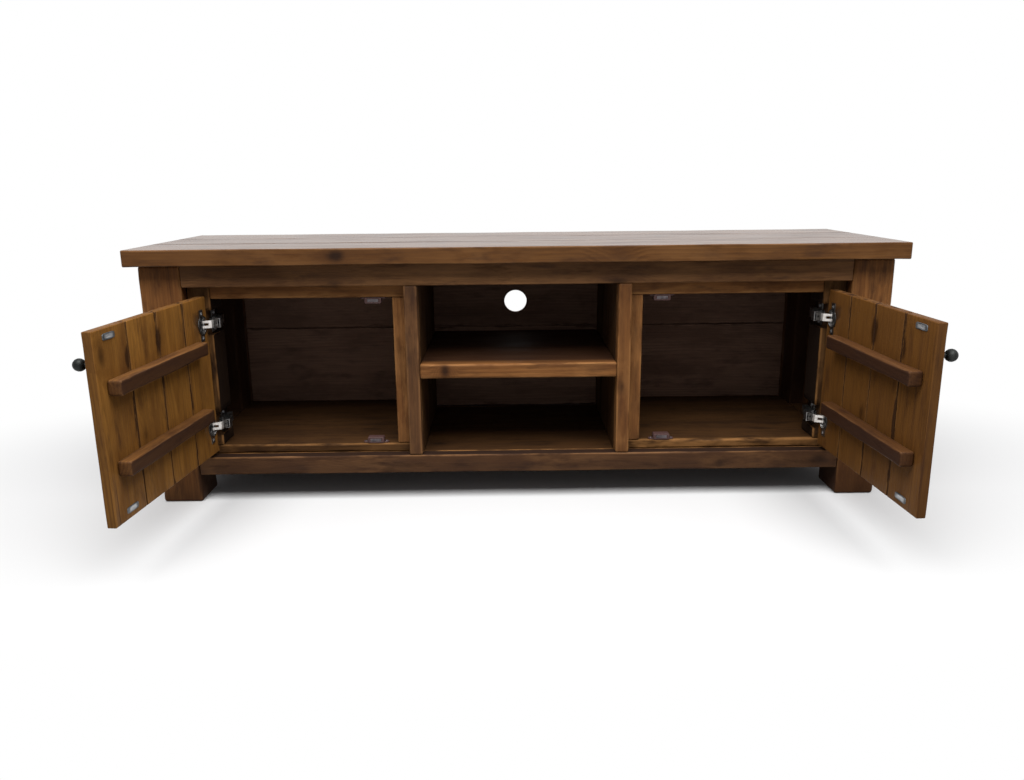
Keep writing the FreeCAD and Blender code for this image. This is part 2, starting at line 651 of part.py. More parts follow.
# Knob: an iron ball on a flared neck, with a stud into the outermost board
knob_x, knob_z = KNOB_PLACE
FACE = "(-door_thick)"
rose = rod("knob_rose", (knob_x, FACE, knob_z), "-y", "knob_rose", "knob_rose_height", tip="knob_waist")
neck = rod(
    "knob_neck", (knob_x, f"{FACE} - knob_rose_height", knob_z), "-y", "knob_waist",
    "knob_reach - knob_rose_height", tip="knob_neck",
)
stud = rod("knob_stud", (knob_x, FACE, knob_z), "+y", "knob_stud", "knob_stud_length")
ball = doc.addObject("Part::Sphere", "knob_ball")
ball.setExpression("Radius", formula("knob_ball / 2"))
ball.Placement = FreeCAD.Placement(Vector(), TURNS["-y"])
place(ball, (knob_x, f"{FACE} - knob_reach", knob_z))
knob = fused("knob", [ball, neck, rose, stud])
stud_bore = rod(
    "knob_bore", (knob_x, FACE, knob_z), "+y", "knob_stud + 2 * screw_play", "knob_stud_length + screw_play"
)

# Door boards: four tongued uprights, bored for the cups and the knob
door_boards = matched_boards(
    "door_board", ("0", FACE, DOOR_LOW), (DOOR_WIDTH, "0", DOOR_HIGH), "z", "x", "door_joint",
    even_starts("0", DOOR_WIDTH, "door_joint", 4), "door_ease",
)
door_boards[0] = cut("door_board_hinge", door_boards[0], door_bores)
door_boards[-1] = cut("door_board_free", door_boards[-1], [stud_bore])

# Ledges: two battens that hold the boards of a door together
ledges = {}
for height_name, shift in (("lower", "- ledge_lower_drop"), ("upper", "+ ledge_upper_rise")):
    middle = f"({DOOR_MIDDLE} {shift})"
    ledges[height_name] = board(
        "ledge_" + height_name,
        ("ledge_inset_hinge", "0", f"{middle} - ledge_height / 2"),
        (f"{DOOR_WIDTH} - ledge_inset_free", "ledge_thick", f"{middle} + ledge_height / 2"),
        "z",
        "ledge_ease",
    )

# Hinge links: on each arm pin a cranked channel, two cheeks joined by a web, drawn shut about that pin
links = []
arm_pin = Vector(size("arm_pin_out"), size("arm_pin_back"), 0)
shut_edge = Vector(-size("hinge_overlay"), -size("door_shut_gap"), 0)
cup_pin = shut_edge + Vector(size("cup_pin_setback"), -size("cup_pin_depth"), 0)
bends = (
    Vector(size("link_bend_out"), -size("link_bend_front"), 0),
    Vector(size("link_knee_out"), -size("link_knee_front"), 0),
)
route = [point - arm_pin for point in (arm_pin,) + bends + (cup_pin,)]
web_route = [route[0] * 0.25 + route[1] * 0.75, route[1], route[2], route[2] * 0.75 + route[3] * 0.25]


def link_strip(points, low, high):
    """A strip with round ends along a route, between two heights."""
    strip = Part.makePolygon(points).makeOffset2D(size("link_bar") / 2)
    return Part.Face(strip).extrude(Vector(0, 0, high - low)).translated(Vector(0, 0, low))


def link_channel(name, height):
    """Two cheeks that follow the cranked route, with an eye for each pin, and a web at the knee."""
    inner, outer = size("link_inner"), size("link_outer")
    solid = link_strip(web_route, -inner, inner)
    for low in (-outer, inner):
        solid = solid.fuse(link_strip(route, low, low + outer - inner))
        for eye in (route[0], route[-1]):
            solid = solid.fuse(Part.makeCylinder(size("link_eye") / 2, outer - inner, eye + Vector(0, 0, low)))
    bore = size("pin_diameter") / 2 + size("pin_play")
    for eye in (route[0], route[-1]):
        solid = solid.cut(Part.makeCylinder(bore, 2 * outer, eye - Vector(0, 0, outer)))
    link = doc.addObject("Part::Feature", name)
    link.Shape = solid.removeSplitter()
    link.setExpression("Placement.Base.z", formula(height))
    return link


for height_name, middle in HINGE_HEIGHTS.items():
    links.append(link_channel("link_" + height_name, middle))

# Rest poses: the link turns one way and the door the other, about the two pins
seat_out = size("overall_width") / 2 - size("top_side_overhang") - size("post_width")
seat_out -= size("door_gap_hinge") + size("hinge_overlay")
seat_place = Vector(-seat_out, size("frame_thick") - size("carcass_depth") / 2, 0)


def turned(angle):
    """A turn about the upright axis."""
    return FreeCAD.Rotation(Vector(0, 0, 1), angle)


def rest_pose(side, place_now, angle):
    """A left-hand place and turn, or their mirror image on the right."""
    hand = 1 if side == "left" else -1
    return FreeCAD.Placement(Vector(hand * place_now.x, place_now.y, 0), turned(hand * angle))


door_pieces = {
    "door_boards": door_boards,
    "ledge_upper": [ledges["upper"]],
    "ledge_lower": [ledges["lower"]],
    "knob": [knob],
    "hinge_cups": cups,
    "cup_pins": cup_pins,
    "strike_plates": strikes,
    "door_screws": door_screws,
}
for side in ("left", "right"):
    opening = size(side + "_open_angle")
    link_angle = size("link_share") * opening
    pin_now = arm_pin + turned(link_angle).multVec(cup_pin - arm_pin)
    edge_now = pin_now + turned(-opening).multVec(shut_edge - cup_pin)
    link_pose = rest_pose(side, seat_place + arm_pin, link_angle)
    door_pose = rest_pose(side, seat_place + edge_now, -opening)
    cup_pose = rest_pose(side, seat_place + pin_now, 0)
    print(side, "arm pin at", link_pose.Base, "cup pin at", cup_pose.Base, "hinge edge at", door_pose.Base)
    pieces = dict(door_pieces, hinge_links=links)
    for stem, solids in pieces.items():
        name = f"{side}_{stem}"
        if side == "right":
            solids = [mirrored(f"{stem}_mirror_{index}", solid) for index, solid in enumerate(solids)]
        sub_part(name, grouped(name, solids), link_pose if stem == "hinge_links" else door_pose)

# Check every object, then write one file for each sub-part
doc.recompute()
for item in doc.Objects:
    if {"Invalid", "Error"} & set(item.State):
        raise RuntimeError(f"{item.Label} failed: {item.State}")
for piece in sub_parts:
    if piece.Shape.isNull() or not piece.Shape.isValid():
        raise RuntimeError(f"{piece.Label} has no valid shape")
os.makedirs("parts", exist_ok=True)
for piece in sub_parts:
    piece.Shape.exportStep(os.path.join("parts", piece.Label + ".step"))
print(len(sub_parts), "sub-parts written")
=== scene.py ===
import json
import math

import bmesh
import bpy
import numpy as np
from mathutils import Matrix, Vector


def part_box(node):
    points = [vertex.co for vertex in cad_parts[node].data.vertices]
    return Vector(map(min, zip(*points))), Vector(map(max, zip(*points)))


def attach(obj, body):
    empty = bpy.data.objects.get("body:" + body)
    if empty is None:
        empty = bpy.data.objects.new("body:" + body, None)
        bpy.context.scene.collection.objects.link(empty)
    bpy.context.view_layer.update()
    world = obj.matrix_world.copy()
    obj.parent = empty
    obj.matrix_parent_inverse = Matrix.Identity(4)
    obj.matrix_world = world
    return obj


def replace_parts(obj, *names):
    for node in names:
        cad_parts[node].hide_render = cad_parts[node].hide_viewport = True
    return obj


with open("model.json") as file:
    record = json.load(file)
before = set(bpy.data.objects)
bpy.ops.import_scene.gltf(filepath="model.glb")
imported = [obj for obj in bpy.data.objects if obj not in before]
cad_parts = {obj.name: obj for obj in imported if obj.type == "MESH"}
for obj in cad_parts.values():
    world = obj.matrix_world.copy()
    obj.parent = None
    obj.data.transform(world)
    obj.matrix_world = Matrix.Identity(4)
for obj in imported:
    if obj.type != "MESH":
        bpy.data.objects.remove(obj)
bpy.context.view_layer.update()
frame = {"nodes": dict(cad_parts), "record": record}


# Posts: four pine corner legs that run from the floor to the underside of the top.
# Each is one sawn length, planed by hand, with its arrises rubbed round before staining and waxing.
def operator(operation, reflected=False):
    """A method that adds one Math node, with its terms turned round if it is reflected."""
    def apply(self, other):
        return self.math(operation, *((other, self) if reflected else (self, other)))
    return apply


class Wire:
    """One value inside a material. Arithmetic on it adds the Math node that works the result out."""

    def __init__(self, tree, socket=None):
        self.tree = tree
        self.socket = socket

    def node(self, kind, settings=None, inputs=None, out=0):
        """Adds any node: its settings first, then a value or a wire for each named input."""
        made = self.tree.nodes.new("ShaderNode" + kind)
        for key, value in (settings or {}).items():
            setattr(made, key, value)
        for key, value in (inputs or {}).items():
            if isinstance(value, Wire):
                self.tree.links.new(value.socket, made.inputs[key])
            else:
                made.inputs[key].default_value = value
        return Wire(self.tree, made.outputs[out])

    def also(self, out):
        """Another output of the node that this value comes from."""
        return Wire(self.tree, self.socket.node.outputs[out])

    def math(self, operation, *terms):
        return self.node("Math", {"operation": operation}, dict(enumerate(terms)))

    __add__ = __radd__ = operator("ADD")
    __mul__ = __rmul__ = operator("MULTIPLY")
    __sub__, __rsub__ = operator("SUBTRACT"), operator("SUBTRACT", True)
    __truediv__, __rtruediv__ = operator("DIVIDE"), operator("DIVIDE", True)

    def swing(self, amount):
        """A value from 0 to 1 as a swing of half the amount either way."""
        return (self - 0.5) * amount

    def smooth(self, start, end):
        """0 below start and 1 above end, on an S-shaped curve between them."""
        settings = {"interpolation_type": "SMOOTHSTEP"}
        return self.node("MapRange", settings, {"Value": self, "From Min": start, "From Max": end})

    def held(self, name, out="Vector"):
        """What the mesh holds at each point under an attribute's name."""
        return self.node("Attribute", {"attribute_name": name}, out=out)

    def length(self):
        """How long this vector is."""
        return self.node("VectorMath", {"operation": "LENGTH"}, {0: self}, out="Value")

    def stretched(self, scale):
        """This vector with each axis multiplied by its own factor."""
        return self.node("VectorMath", {"operation": "MULTIPLY"}, {0: self, 1: scale})

    def noise(self, scale, detail=3.0, rough=0.5):
        """Cloudy noise from 0 to 1 over this vector, with its own frequency per metre on each axis."""
        inputs = {"Vector": self.stretched(scale), "Scale": 1.0, "Detail": detail, "Roughness": rough}
        return self.node("TexNoise", inputs=inputs, out="Fac")

    def figure(self, along, across, detail=3.0, rough=0.5):
        """Noise drawn out along the grain, with one frequency along it and another across it."""
        return self.noise((along, across, across), detail, rough)

    def tint(self, under, over):
        """The under colour where this value is 0 and the over colour where it is 1."""
        under = under if isinstance(under, Wire) else (*under, 1.0)
        over = over if isinstance(over, Wire) else (*over, 1.0)
        return self.node("Mix", {"data_type": "RGBA"}, {0: self, 6: under, 7: over}, out=2)

    def relief(self, depth, strength):
        """A normal that shows this value as height, up to the depth in metres."""
        inputs = {"Height": self, "Distance": depth, "Strength": strength}
        return self.node("Bump", inputs=inputs, out="Normal")


def new_finish(name):
    """An empty material: the material, its shader node and a wire to start from."""
    material = bpy.data.materials.new(name)
    material.use_nodes = True
    shader = material.node_tree.nodes["Principled BSDF"]
    return material, shader, Wire(material.node_tree)


def join_up(shader, **wires):
    """Links wires to the shader's sockets, named with underscores for spaces."""
    for key, wire in wires.items():
        wire.tree.links.new(wire.socket, shader.inputs[key.replace("_", " ")])


def blend(first, second, share):
    """A colour part of the way from one colour to another."""
    return tuple(a + (b - a) * share for a, b in zip(first, second))


BLACK = (0.0, 0.0, 0.0)
RING_WIDTH = 0.006
KNOT_CELLS = (5.0, 9.5, 0.0)
KNOT_WOBBLE, PLACED_WOBBLE = 0.16, 6.0
HEART_FADE, HALO_FADE, PLACED_HALO_FADE = (0.0, 0.13), (0.04, 0.4), (0.6, 2.3)
RING_WANDER, RING_RIPPLE, RING_PUSH = 0.07, 0.007, 0.02
CRACK_LEAST, CRACK_SPREAD = 0.0022, 0.011
GRAIN_RELIEF = 0.7


def waxed_pine(
    name, stain, gloss=0.46, specular=0.1, knots=0.3, streaks=0.6, grime=0.25, open_grain=0.0006, rub=0.006,
    patches=1.0, knot_edge=(0.1, 1.15),
):
    """Stained and waxed pine, worked out in the board's own axes: x along the grain, y and z from the pith.

    The stain is its pale, rich, dark and worn colours. The growth rings are the distance from the pith line,
    bent by slow noise and pushed aside by knots, and taken modulo the ring width. Knots are the nearest
    points of a flat cell pattern, of which a share is chosen, and the knot attribute measures from one more
    with a set place, in its radii. The state attribute holds the distance to the nearest arris, the board's
    own tone and how far it is darkened, by stain soaked in and by painted shade: arrises are rubbed pale in
    places, and elsewhere dark wax lies along them.
    """
    pale, rich, dark, worn = stain
    deep = blend(rich, dark, 0.45)
    material, shader, start = new_finish(name)
    grain = start.held("grain")
    edge = start.node("SeparateXYZ", inputs={"Vector": start.held("state")}, out="X")
    tone = edge.also("Y")
    soaked_and_shaded = edge.also("Z")

    cells = {"Vector": grain.stretched(KNOT_CELLS), "Scale": 1.0, "Randomness": 1.0}
    cell = start.node("TexVoronoi", {"feature": "F1", "voronoi_dimensions": "2D"}, cells, out="Color")
    choice = start.node("SeparateColor", inputs={"Color": cell}, out="Red")
    chosen = choice.math("LESS_THAN", choice, knots)
    uneven = grain.figure(30.0, 45.0, 3.0, 0.6).swing(KNOT_WOBBLE)
    distance = cell.also("Distance") + uneven
    placed = start.held("knot").length() + uneven * PLACED_WOBBLE
    heart = chosen * (1.0 - distance.smooth(*HEART_FADE)) * 0.75 + (1.0 - placed.smooth(*knot_edge)) * 0.95
    halo = chosen * (1.0 - distance.smooth(*HALO_FADE)) + (1.0 - placed.smooth(*PLACED_HALO_FADE))

    radius = grain.stretched((0.0, 1.0, 1.0)).length()
    wander = grain.figure(1.1, 5.0, 2.0).swing(RING_WANDER)
    ripple = grain.figure(6.0, 40.0).swing(RING_RIPPLE)
    phase = (radius + wander + ripple + halo * RING_PUSH) / RING_WIDTH
    turn = phase.math("FRACT", phase)
    late = turn.smooth(0.1, 0.86) * (1.0 - turn.smooth(0.88, 1.0))
    patchy = grain.figure(1.9, 12.0).smooth(0.34, 0.66)

    fibre = grain.figure(10.0, 480.0, 3.0, 0.62)
    band = grain.figure(0.8, 34.0, 3.0, 0.55).smooth(0.4, 0.64)
    streak = grain.figure(2.2, 120.0, 4.0, 0.7).smooth(0.54, 0.72)
    cloud = grain.figure(5.0, 18.0, 5.0, 0.66).smooth(0.42, 0.66)
    blotch = grain.figure(11.0, 38.0, 4.0, 0.6).smooth(0.52, 0.74)
    touched = grain.figure(14.0, 50.0, 3.0, 0.6).smooth(0.34, 0.6)
    opened = grain.figure(9.0, 55.0, 4.0, 0.66).smooth(0.5, 0.74)
    rub_and_highlight = (1.0 - edge.smooth(0.0, rub)) * touched
    crack = 1.0 - (edge / (CRACK_LEAST + opened * CRACK_SPREAD)).smooth(0.4, 1.0)

    # Each layer's cover and colour, from the bare wood up
    layers = (
        (late * (0.25 + patchy * 0.55), rich),
        (band * 0.55, rich),
        (tone * 0.75, deep),
        (cloud * 0.72, deep),
        (blotch * 0.6, dark),
        (streak * patchy * streaks, dark),
        ((1.0 - fibre.smooth(0.3, 0.58)) * 0.35, dark),
        (halo * 0.65, deep),
        (heart * 0.9, blend(dark, BLACK, 0.6)),
        (rub_and_highlight * (1.0 - heart) * 0.7, worn),
        (crack * grime, blend(dark, BLACK, 0.5)),
        # Darker where stain has soaked in, and painted shade inside the carcass, under things and near the
        # floor
        (soaked_and_shaded * 0.92, blend(dark, BLACK, 0.35)),
    )
    colour = pale
    for cover, layer_colour in layers:
        colour = cover.tint(colour, layer_colour)

    fine = grain.figure(60.0, 900.0, 2.0)
    height = fibre * 0.5 + late * 0.35 + fine * 0.3 - heart * 0.4 - crack * grime
    shine = gloss + (cloud * 0.14 + fibre * 0.12 - late * 0.06) * patches + soaked_and_shaded * 0.15 + crack * 0.2
    shader.inputs["Specular IOR Level"].default_value = specular
    join_up(shader, Base_Color=colour, Roughness=shine, Normal=height.relief(open_grain, GRAIN_RELIEF))
    return material


FRAME_STAIN = ((0.290, 0.125, 0.038), (0.165, 0.063, 0.018), (0.036, 0.015, 0.008), (0.420, 0.200, 0.068))
frame_pine = waxed_pine("frame_pine", FRAME_STAIN)

CORNER_TURNS = 5
FACE_STEP, GRAIN_STEP = 0.03, 0.02
HOLD = 0.0016


def section_points(half_across, half_through):
    """The outline of a sawn board's section: a rectangle with round corners.

    Each point has a corner place from -1 to 1 on both axes and an outward direction. At corner radius r it
    lies at place * (half side - r) + direction * r. Flat runs also get a point HOLD from each corner, so
    that smooth shading stays within the round.
    """
    places, directions = [], []
    corners = np.array([(1, 1), (-1, 1), (-1, -1), (1, -1)], float)
    runs = [half_across, half_through, half_across, half_through]
    for quarter in range(4):
        angles = (quarter + np.linspace(0, 1, CORNER_TURNS + 1)) * math.pi / 2
        places.append(np.repeat(corners[quarter:quarter + 1], CORNER_TURNS + 1, axis=0))
        directions.append(np.column_stack((np.cos(angles), np.sin(angles))))
        half = runs[quarter]
        steps = max(1, round(2 * half / FACE_STEP))
        edge = HOLD / (2 * half)
        share = np.concatenate(([edge], np.linspace(edge, 1 - edge, steps + 1)[1:-1], [1 - edge]))[:, None]
        places.append(corners[quarter] * (1 - share) + corners[(quarter + 1) % 4] * share)
        directions.append(np.repeat(directions[-1][-1:], len(share), axis=0))
    return np.concatenate(places), np.concatenate(directions)


def skin(rows, columns):
    """Faces over rings of points: quads from each ring to the next, and one flat face at either end."""
    index = np.arange(rows * columns).reshape(rows, columns)
    after = np.roll(index, -1, axis=1)
    quads = np.stack((index[:-1], after[:-1], after[1:], index[1:]), axis=-1).reshape(-1, 4)
    return quads.tolist() + [index[0, ::-1].tolist(), index[-1].tolist()]


WEAR_SLOW, WEAR_QUICK, QUICK_PACE = 0.3, 0.12, 4.3
WEAR_PACES = (7, 16)
PLANE_SLANTS = (2.2, 1.7)
LEAST_RADIUS = 0.00005


def board_surface(half, ease, rng, planing):
    """A board as its section carried along the grain, about the origin, with x along the grain.

    The section's corner radius is the ease, varied by a slow and a quick sine along the board. Towards
    each end the section shrinks by ease * (1 - cos t) while it moves on by ease * sin t, t from 0 to a
    quarter turn, which rounds the end. Each face is planed inwards by a product of two slow sines.
    """
    places, directions = section_points(half[1], half[2])
    turn = np.linspace(0, math.pi / 2, CORNER_TURNS + 1)
    middle = np.linspace(-half[0] + ease, half[0] - ease, max(2, round(2 * half[0] / GRAIN_STEP)))
    tip = half[0] - ease + ease * np.sin(turn)
    tip_inset = ease * (1 - np.cos(turn))
    along = np.concatenate((-tip[::-1], middle[1:-1], tip))[:, None]
    inset = np.concatenate((tip_inset[::-1], 0 * middle[1:-1], tip_inset))[:, None]
    inner = np.clip((half[0] - np.abs(along)) / (3 * ease) - 0.4, 0, 1)
    phase = rng.uniform(0, 2 * math.pi, 4)
    pace = rng.uniform(*WEAR_PACES, 3)
    slow = WEAR_SLOW * np.sin(pace[0] * along + phase[0])
    quick = WEAR_QUICK * np.sin(QUICK_PACE * pace[1] * along + phase[1])
    radius = np.maximum(ease * (1 + inner * (slow + quick)) - inset, LEAST_RADIUS)
    shaved = planing * inner * (
        0.5 + 0.5 * np.sin(pace[1] * along + PLANE_SLANTS[0] * places[:, 0] + phase[2])
        * np.sin(pace[2] * along + PLANE_SLANTS[1] * places[:, 1] + phase[3])
    )
    across = places[:, 0] * (half[1] - inset - radius) + directions[:, 0] * (radius - shaved)
    through = places[:, 1] * (half[2] - inset - radius) + directions[:, 1] * (radius - shaved)
    points = np.stack((np.broadcast_to(along, across.shape), across, through), axis=-1)
    return points.reshape(-1, 3), skin(*across.shape)


def cut_by(piece, cutters, solver="EXACT"):
    """Takes the cutters out of a piece and drops them."""
    bpy.context.view_layer.update()
    for cutter in cutters:
        modifier = piece.modifiers.new("cut", "BOOLEAN")
        modifier.operation = "DIFFERENCE"
        modifier.solver = solver
        modifier.object = cutter
    graph = bpy.context.evaluated_depsgraph_get()
    cut_mesh = bpy.data.meshes.new_from_object(piece.evaluated_get(graph))
    piece.modifiers.clear()
    piece.data = cut_mesh
    for cutter in cutters:
        bpy.data.objects.remove(cutter)


def in_scene(name, data):
    """A new object in the scene, at the origin."""
    made = bpy.data.objects.new(name, data)
    bpy.context.scene.collection.objects.link(made)
    return made


SHARP_ANGLE = 40


def mesh_piece(name, points, faces, material, smooth_angle=SHARP_ANGLE):
    """A mesh object at the origin, smooth apart from its edges sharper than the angle."""
    mesh = bpy.data.meshes.new(name)
    mesh.from_pydata(points, [], faces)
    piece = in_scene(name, mesh)
    mesh.shade_smooth()
    mesh.set_sharp_from_angle(angle=math.radians(smooth_angle))
    mesh.materials.append(material)
    return piece


def settle(mesh, place):
    """Moves a mesh to its place, and turns its faces out again where the place mirrors it."""
    mesh.transform(place)
    if place.determinant() < 0:
        mesh.flip_normals()


def point_places(mesh):
    """The places of a mesh's points, as rows."""
    places = np.empty(len(mesh.vertices) * 3)
    mesh.vertices.foreach_get("co", places)
    return places.reshape(-1, 3)


def hold(mesh, name, values):
    """Stores one value or vector for each point of a mesh."""
    kind, key = ("FLOAT", "value") if values.ndim == 1 else ("FLOAT_VECTOR", "vector")
    mesh.attributes.new(name, kind, "POINT").data.foreach_set(key, values.ravel())


AXIS = {"x": 0, "y": 1, "z": 2}
# The inside of the carcass, whose faces are painted darker: painted shade of the compartments.
INSIDE_SHADE = ((-0.7055, -0.171, 0.100), (0.7055, 0.1845, 0.4855))
END_SKIN, END_SOAK = 0.3, 0.45
# Boards are painted darker towards the floor, below this height: painted shade of the lower light there.
LOW_SHADE_HEIGHT = 0.11
CLEAN_ROOM = 0.05
NO_KNOT = ((9.0, 9.0, 9.0), (0.01, 0.01, 0.01))
PITH_RUN, PITH_SIDE, PITH_BEHIND = 40, 0.035, (0.004, 0.05)
OWN_TONES = (0.1, 0.6)
pieces_cut = 0


def board(
    name, low, high, along, finish, body="cabinet", ease=0.003, planing=0.0004, place=None, cutters=(),
    slot=None, tone=None, stained=(INSIDE_SHADE,), stain=1.0, clean=(), damp=0.0, knot=NO_KNOT,
):
    """One board between two corners, with the grain along an axis, moved by a place matrix if it has one.

    Every board gets a new seed, so that its pith, grain and wear are its own. The pith lies behind one of
    its wide faces, as in a board sawn beside the heart. Its ends have soaked up stain. Its faces within the
    listed zones are darkened as well: by stain along the top's plank joints and on some door and ledge
    faces, and by painted shade inside the carcass, at the feet, on the front bottom rail's top and under the
    ledges. Towards the floor it is painted darker, a painted shade. No wax or wear lies along its arrises in
    the clean zones. A set knot is its place and its radii.
    """
    global pieces_cut
    pieces_cut += 1
    rng = np.random.default_rng(pieces_cut)
    low, high = np.array(low, float), np.array(high, float)
    half_box = (high - low) / 2
    order = [AXIS[along]] + sorted((k for k in range(3) if k != AXIS[along]), key=lambda k: -half_box[k])
    turn = np.eye(3)[order]
    if np.linalg.det(turn) < 0:
        turn[2] *= -1
    half = half_box[order]
    points, faces = board_surface(half, ease, rng, planing)
    piece = mesh_piece(name, points @ turn + (low + high) / 2, faces, finish)
    if cutters:
        cut_by(piece, cutters)
    mesh = piece.data
    spots = point_places(mesh)
    local = (spots - (low + high) / 2) @ turn.T
    pith = np.array((
        rng.uniform(0, PITH_RUN), rng.uniform(-PITH_SIDE, PITH_SIDE), half[2] + rng.uniform(*PITH_BEHIND)
    ))
    pith[2] *= rng.choice((-1, 1))
    hold(mesh, "grain", local + pith)
    hold(mesh, "knot", (spots - knot[0]) @ turn.T / knot[1])

    def within(zone):
        return np.all((spots > zone[0]) & (spots < zone[1]), axis=1)

    edge_room = np.max(half[1:] - np.abs(local[:, 1:]), axis=1)
    soak_and_shade = np.where(half[0] - np.abs(local[:, 0]) < END_SKIN * ease, END_SOAK, 0.0)
    for zone in stained:
        soak_and_shade[within(zone)] = stain
    for zone in clean:
        edge_room[within(zone)] = CLEAN_ROOM
    soak_and_shade = np.maximum(soak_and_shade, damp * np.clip(1 - spots[:, 2] / LOW_SHADE_HEIGHT, 0, 1))
    own_tone = rng.uniform(*OWN_TONES)
    tones = np.full(len(local), own_tone if tone is None else tone)
    hold(mesh, "state", np.column_stack((np.maximum(edge_room, 0), tones, soak_and_shade)))
    if place is not None:
        settle(mesh, place)
    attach(piece, body)
    return piece


def whole_board(node, along, finish, **details):
    """A board that stands for one CAD node and fills its box."""
    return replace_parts(board(node + "_wood", *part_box(node), along, finish, **details), node)


# The posts are painted darker towards the floor: painted shade.
POST_WORK = {"ease": 0.0065, "planing": 0.0008, "damp": 0.75, "slot": "pine_frame"}
POST_TONES = {"front_left": 0.45, "front_right": 0.25, "rear_left": 0.3, "rear_right": 0.4}
# The inner faces of the front feet, which are painted darker: painted shade.
FOOT_INNER_SHADE = ((-0.658, -0.1985, -0.1), (0.658, -0.107, 0.1))
for corner, tone in POST_TONES.items():
    whole_board("post_" + corner, "z", frame_pine, tone=tone, stained=(INSIDE_SHADE, FOOT_INNER_SHADE), **POST_WORK)


# Rails: pine rails between the posts, at the front, the back and both sides, above and below the panels.
# They are planed square, butted and glued to the posts, and the front and back ones are stained darker.
RAIL_STAIN = ((0.188, 0.088, 0.033), (0.108, 0.047, 0.0185), (0.026, 0.013, 0.009), (0.300, 0.145, 0.056))
rail_pine = waxed_pine("rail_pine", RAIL_STAIN, knots=0.35)
# The narrow top face of the front bottom rail, before the floor, which is painted darker: painted shade in
# that recess.
DOOR_REST_SHADE = ((-0.654, -0.1985, 0.0955), (0.654, -0.170, 0.100))
# The bottom rails take the deepest tone, and are painted darker towards the floor: painted shade of the lower
# light there.
RAIL_TONES = {"top": 0.0, "bottom": 1.33}
for face in ("front", "rear"):
    for level, tone in RAIL_TONES.items():
        whole_board(
            f"rail_{level}_{face}", "x", rail_pine, slot="pine_frame", stained=(INSIDE_SHADE, DOOR_REST_SHADE), tone=tone,
            damp=1.0,
        )

SIDES = ("left", "right")
RAIL_HEIGHTS = {level: [corner.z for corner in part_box(f"rail_{level}_front")] for level in RAIL_TONES}
for side in SIDES:
    low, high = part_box("side_rails_" + side)
    for level, (under, over) in RAIL_HEIGHTS.items():
        rail = board(
            f"side_rail_{level}_{side}", (low.x, low.y, under), (high.x, high.y, over), "y", frame_pine,
            slot="pine_frame",
        )
        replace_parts(rail, "side_rails_" + side)


# Side boards and back boards: thin pine boards that close the sides and the back between the rails.
# The sides are three uprights and the back two lengths, tongued together, and the upper back board is bored
# for leads.
TONGUE_THICK, TONGUE_REACH, TONGUE_EASE = 0.005, 0.0055, 0.0008


def joint_tongue(name, low, high, along, across, joint, finish, body="cabinet", place=None):
    """The tongue at a board's far side, which reaches into that board and its neighbour."""
    side = AXIS[across]
    depth = 3 - side - AXIS[along]
    tongue_low, tongue_high = np.array(low, float), np.array(high, float)
    tongue_low[side] = high[side] - TONGUE_REACH
    tongue_high[side] = high[side] + joint + TONGUE_REACH
    middle = (low[depth] + high[depth]) / 2
    tongue_low[depth], tongue_high[depth] = middle - TONGUE_THICK / 2, middle + TONGUE_THICK / 2
    return board(
        name, tongue_low, tongue_high, along, finish, body, TONGUE_EASE, planing=0.0, place=place, tone=1.0,
        stained=(),
    )


def boards_in_row(low, high, across, count, joint):
    """The corners of each of a row of boards of equal width, side by side along an axis."""
    axis = AXIS[across]
    width = (high[axis] - low[axis] - joint * (count - 1)) / count
    for number in range(count):
        part_low, part_high = np.array(low, float), np.array(high, float)
        part_low[axis] = low[axis] + number * (width + joint)
        part_high[axis] = part_low[axis] + width
        yield part_low, part_high


PANEL_JOINT = 0.0015
SIDE_BOARDS, SIDE_EASE = 3, 0.0022
for side in SIDES:
    node = "side_boards_" + side
    for number, corners in enumerate(boards_in_row(*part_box(node), "y", SIDE_BOARDS, PANEL_JOINT), 1):
        piece = board(f"{node}_{number}", *corners, "z", frame_pine, ease=SIDE_EASE, slot="pine_frame")
        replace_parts(piece, node)
        if number < SIDE_BOARDS:
            joint_tongue(f"{node}_tongue_{number}", *corners, "z", "y", PANEL_JOINT, frame_pine)

# Inner pine is stained dark, and made darker still to stand in for the shade in the compartments: partly
# painted shade. The floors, bearers, partitions and hinge battens take it.
INNER_STAIN_AND_SHADE = ((0.090, 0.041, 0.014), (0.050, 0.022, 0.008), (0.014, 0.007, 0.004), (0.360, 0.170, 0.055))
INNER_FINISH = {"gloss": 0.6, "specular": 0.08, "knots": 0.1}
inner_pine_shaded = waxed_pine("inner_pine_shaded", INNER_STAIN_AND_SHADE, **INNER_FINISH)
BACK_PALE = (0.390, 0.232, 0.160)
BACK_STAIN = (BACK_PALE, (0.260, 0.150, 0.103), (0.105, 0.060, 0.044), BACK_PALE)
back_pine = waxed_pine("back_pine", BACK_STAIN, gloss=0.6, grime=0.6)


def lathe_surface(outline, around=48):
    """A turned shape about z: the outline's radius and height carried round a circle, closed at its ends."""
    radius, height = np.array(outline, float).T
    angle = np.arange(around) * 2 * math.pi / around
    rings = np.stack((
        radius[:, None] * np.cos(angle), radius[:, None] * np.sin(angle), height[:, None] + 0 * angle
    ), axis=-1)
    return rings.reshape(-1, 3), skin(len(radius), around)


def borer(radius, depth, place):
    """A round cutter of that depth to either side of its place, along the place's z axis."""
    points, faces = lathe_surface([(radius, -depth), (radius, depth)])
    cutter = mesh_piece("cutter", points, faces, inner_pine_shaded)
    cutter.data.transform(place)
    return cutter


